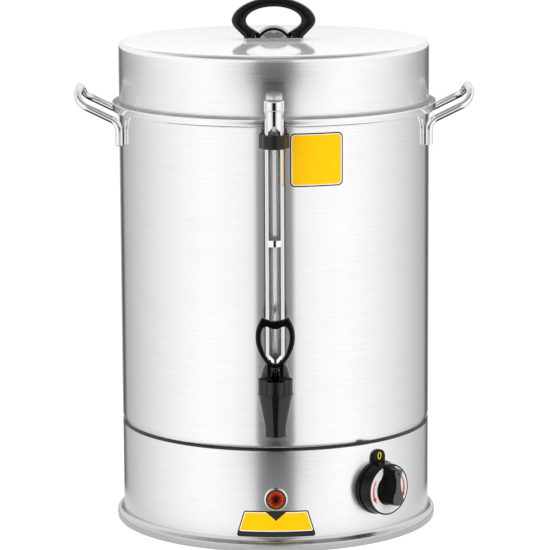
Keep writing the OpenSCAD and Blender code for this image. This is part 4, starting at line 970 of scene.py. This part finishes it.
ring_face = KNOB_LOW + KNOB_DEPTH
arrows = [arc_arrow(146, 216, 20.1, 22.4), arc_arrow(34, -36, 20.1, 22.4)]
flat_print("dial_arrows", arrows, ring_face + PRINT_GAP, INK_RED, "heat_knob")
dot = arc((0, 19.0), 1.5, 0, 345, 23)
flat_print("index_dot", [dot], ring_face + GRIP_H - PRINT_GAP, INK_DARK, "heat_knob")


def zero_figure():
    """The plain figure 0 on the dial plate's tab."""
    height, out_x, out_y, in_x, in_y, steps = 33.6, 2.6, 3.9, 1.35, 2.6, 32
    angles = [2 * math.pi * i / steps for i in range(steps)]
    rim = [(out_x * math.cos(a), height + out_y * math.sin(a)) for a in angles]
    core = [(in_x * math.cos(a), height + in_y * math.sin(a)) for a in angles]
    levels = ((core, 0), (rim, 0), (rim, PRINT_T), (core, PRINT_T))
    verts, faces = loft([[(x, y, z) for x, y in ring] for ring, z in levels], closed=True)
    place = wall_place(DIAL_ANGLE, DIAL_Z, base_r + PLATE_T + PRINT_GAP)
    piece("dial_zero", verts, faces, "dispenser", INK_LEMON, LABEL_SLOT, place=place)


zero_figure()


# Studio


def build_camera():
    """The camera that the photograph's circles give, for a frame of 549 by 550."""
    focal_px = 3168.0
    frame_px = 550
    lens_at = (-0.0004, -3.3509, 0.85636)
    pitch = math.radians(10.068)
    roll = math.radians(-0.29)
    data = bpy.data.cameras.new("camera")
    data.sensor_width = 36.0
    data.lens = focal_px * data.sensor_width / frame_px
    data.clip_end = 50.0
    camera = bpy.data.objects.new("camera", data)
    camera.matrix_world = (
        Matrix.Translation(lens_at)
        @ Matrix.Rotation(math.pi / 2 - pitch, 4, "X")
        @ Matrix.Rotation(roll, 4, "Z")
    )
    bpy.context.scene.collection.objects.link(camera)
    bpy.context.scene.camera = camera


def build_world():
    """White to the lens, to gloss and through glass, and a softer fill for matt surfaces."""
    world = bpy.data.worlds.new("studio")
    bpy.context.scene.world = world
    world.use_nodes = True
    tree = world.node_tree
    tree.nodes.clear()
    path = tree.nodes.new("ShaderNodeLightPath")
    seen = tree.nodes.new("ShaderNodeMath")
    seen.operation = "MAXIMUM"
    tree.links.new(path.outputs["Is Camera Ray"], seen.inputs[0])
    tree.links.new(path.outputs["Is Glossy Ray"], seen.inputs[1])
    clear = tree.nodes.new("ShaderNodeMath")
    clear.operation = "MAXIMUM"
    tree.links.new(seen.outputs[0], clear.inputs[0])
    tree.links.new(path.outputs["Is Transmission Ray"], clear.inputs[1])
    fill = tree.nodes.new("ShaderNodeBackground")
    fill.inputs["Strength"].default_value = 0.55
    white = tree.nodes.new("ShaderNodeBackground")
    white.inputs["Color"].default_value = (1, 1, 1, 1)
    white.inputs["Strength"].default_value = 1.0
    mix = tree.nodes.new("ShaderNodeMixShader")
    out = tree.nodes.new("ShaderNodeOutputWorld")
    tree.links.new(clear.outputs[0], mix.inputs[0])
    tree.links.new(fill.outputs[0], mix.inputs[1])
    tree.links.new(white.outputs[0], mix.inputs[2])
    tree.links.new(mix.outputs[0], out.inputs["Surface"])


def studio_piece(name, verts, faces, finish):
    """A stage mesh that only gloss sees."""
    mesh = bpy.data.meshes.new(name)
    mesh.from_pydata(verts, [], faces)
    mesh.materials.append(finish)
    made = bpy.data.objects.new(name, mesh)
    bpy.context.scene.collection.objects.link(made)
    made.visible_camera = False
    made.visible_diffuse = False
    made.visible_transmission = False
    made.visible_shadow = False


def glowing(name, tones):
    """A glow set by the angle from the front, in degrees."""
    made = Finish(name, {})
    made.tree.nodes.remove(made.bsdf)
    xyz = made.node("SeparateXYZ", i0=made.place()).outputs
    side = made.math("ABSOLUTE", xyz[0])
    ahead = made.math("MULTIPLY", xyz[1], -1.0)
    share = made.math("DIVIDE", made.math("ARCTAN2", side, ahead), math.pi)
    stops = [(degrees / 180, grey(tone)) for degrees, tone in tones]
    emit = made.node("Emission", i0=made.ramp(share, stops))
    made.tree.links.new(emit.outputs[0], made.tree.nodes["Material Output"].inputs["Surface"])
    return made.material


def ring_points(radius, z, steps):
    angles = [2 * math.pi * i / steps for i in range(steps)]
    return [(radius * math.sin(a), -radius * math.cos(a), z) for a in angles]


def even(tone):
    """One tone all round."""
    return [(0, tone), (180, tone)]


def build_tent():
    """A grey gap in front, a black card near the tap, bright sides, a grey roof and dark strips behind."""
    radius, steps = 2.6, 96
    low_end, base_end, lid_start, lid_end, high_end = -2.4, -0.47, 0.095, 0.5, 2.4
    gap = [(0, 0.33), (12.0, 0.34), (14.5, 0.95), (20, 0.99), (30, 1.0), (50, 1.04)]
    base_gap = [(0, 0.04), (6, 0.13), (12.6, 0.27), (14.8, 0.8), (22, 0.93), (32, 1.0), (50, 1.04)]
    lid_gap = [(0, 0.03), (14, 0.03), (17, 0.14), (20, 0.44), (24, 0.62), (30, 0.8), (38, 0.94), (50, 1.04)]
    strips = [(151, 0.11), (160, 0.11), (164, 0.5), (180, 0.75)]
    walls = [(70, 0.97), (90, 0.86), (110, 0.72), (130, 0.56), (144, 0.45), (148, 0.4)] + strips
    lid_walls = [(70, 0.97), (90, 0.83), (105, 0.66), (120, 0.5), (138, 0.35), (148, 0.28)] + strips
    sides = [(i, (i + 1) % steps, steps + (i + 1) % steps, steps + i) for i in range(steps)]
    disc = [tuple(range(steps))]
    roof = 0.64
    for name, low, high, tones in (
        ("tent_low", low_end, base_end, base_gap + walls),
        ("tent_middle", base_end, lid_start, gap + walls),
        ("tent_lid", lid_start, lid_end, lid_gap + lid_walls),
        ("tent_high", lid_end, high_end, gap + [(100, 1.0), (180, 0.84)]),
    ):
        rings = ring_points(radius, low, steps) + ring_points(radius, high, steps)
        studio_piece(name, rings, sides, glowing(name, tones))
    for name, z, reach, tones in (
        ("tent_floor", low_end, radius, even(0.03)),
        ("tent_roof", high_end, radius, even(roof)),
        ("tent_table", 0.0, 0.24, even(roof)),
    ):
        studio_piece(name, ring_points(reach, z, steps), disc, glowing(name, tones))
    half, near, low, high = 0.027, -0.285, 0.1, 0.468
    card = [(-half, near, low), (half, near, low), (half, near, high), (-half, near, high)]
    studio_piece("tent_card", card, [(0, 1, 2, 3)], glowing("tent_card", even(0.015)))
    hole, reach, height = 0.3, 1.58, 2.0
    shade = ring_points(hole, height, steps) + ring_points(reach, height, steps)
    shade_tones = [(0, 0.27), (90, 0.27), (105, roof), (180, roof)]
    studio_piece("tent_shade", shade, sides, glowing("tent_shade", shade_tones))


def build_floor():
    """A white table that shows only the soft shadow under the foot."""
    half = 4
    corners = [(-half, -half, 0), (half, -half, 0), (half, half, 0), (-half, half, 0)]
    mesh = bpy.data.meshes.new("floor")
    mesh.from_pydata(corners, [], [(0, 1, 2, 3)])
    made = bpy.data.materials.new("floor")
    made.use_nodes = True
    tree = made.node_tree
    tree.nodes.clear()
    matt = tree.nodes.new("ShaderNodeBsdfDiffuse")
    matt.inputs["Color"].default_value = (*grey(0.2), 1)
    emit = tree.nodes.new("ShaderNodeEmission")
    emit.inputs["Strength"].default_value = 0.97
    add = tree.nodes.new("ShaderNodeAddShader")
    out = tree.nodes.new("ShaderNodeOutputMaterial")
    tree.links.new(matt.outputs[0], add.inputs[0])
    tree.links.new(emit.outputs[0], add.inputs[1])
    tree.links.new(add.outputs[0], out.inputs["Surface"])
    mesh.materials.append(made)
    floor = bpy.data.objects.new("floor", mesh)
    bpy.context.scene.collection.objects.link(floor)
    floor.visible_glossy = False


def build_lamps():
    """Soft boxes for matt surfaces and shadows, unseen by gloss."""
    target = Vector((0, 0, 0.25))
    for name, place, size, watts in (
        ("box_left", (-1.6, -1.5, 1.3), 1.4, 26),
        ("box_right", (1.6, -1.5, 1.3), 1.4, 22),
        ("box_top", (0, -0.3, 2.2), 1.8, 26),
    ):
        data = bpy.data.lights.new(name, "AREA")
        data.size = size
        data.energy = watts
        lamp = bpy.data.objects.new(name, data)
        lamp.location = place
        aim = target - Vector(place)
        lamp.rotation_euler = aim.to_track_quat("-Z", "Y").to_euler()
        lamp.visible_glossy = False
        bpy.context.scene.collection.objects.link(lamp)


build_camera()
build_world()
build_tent()
build_floor()
build_lamps()
bpy.context.scene.view_settings.view_transform = "Standard"
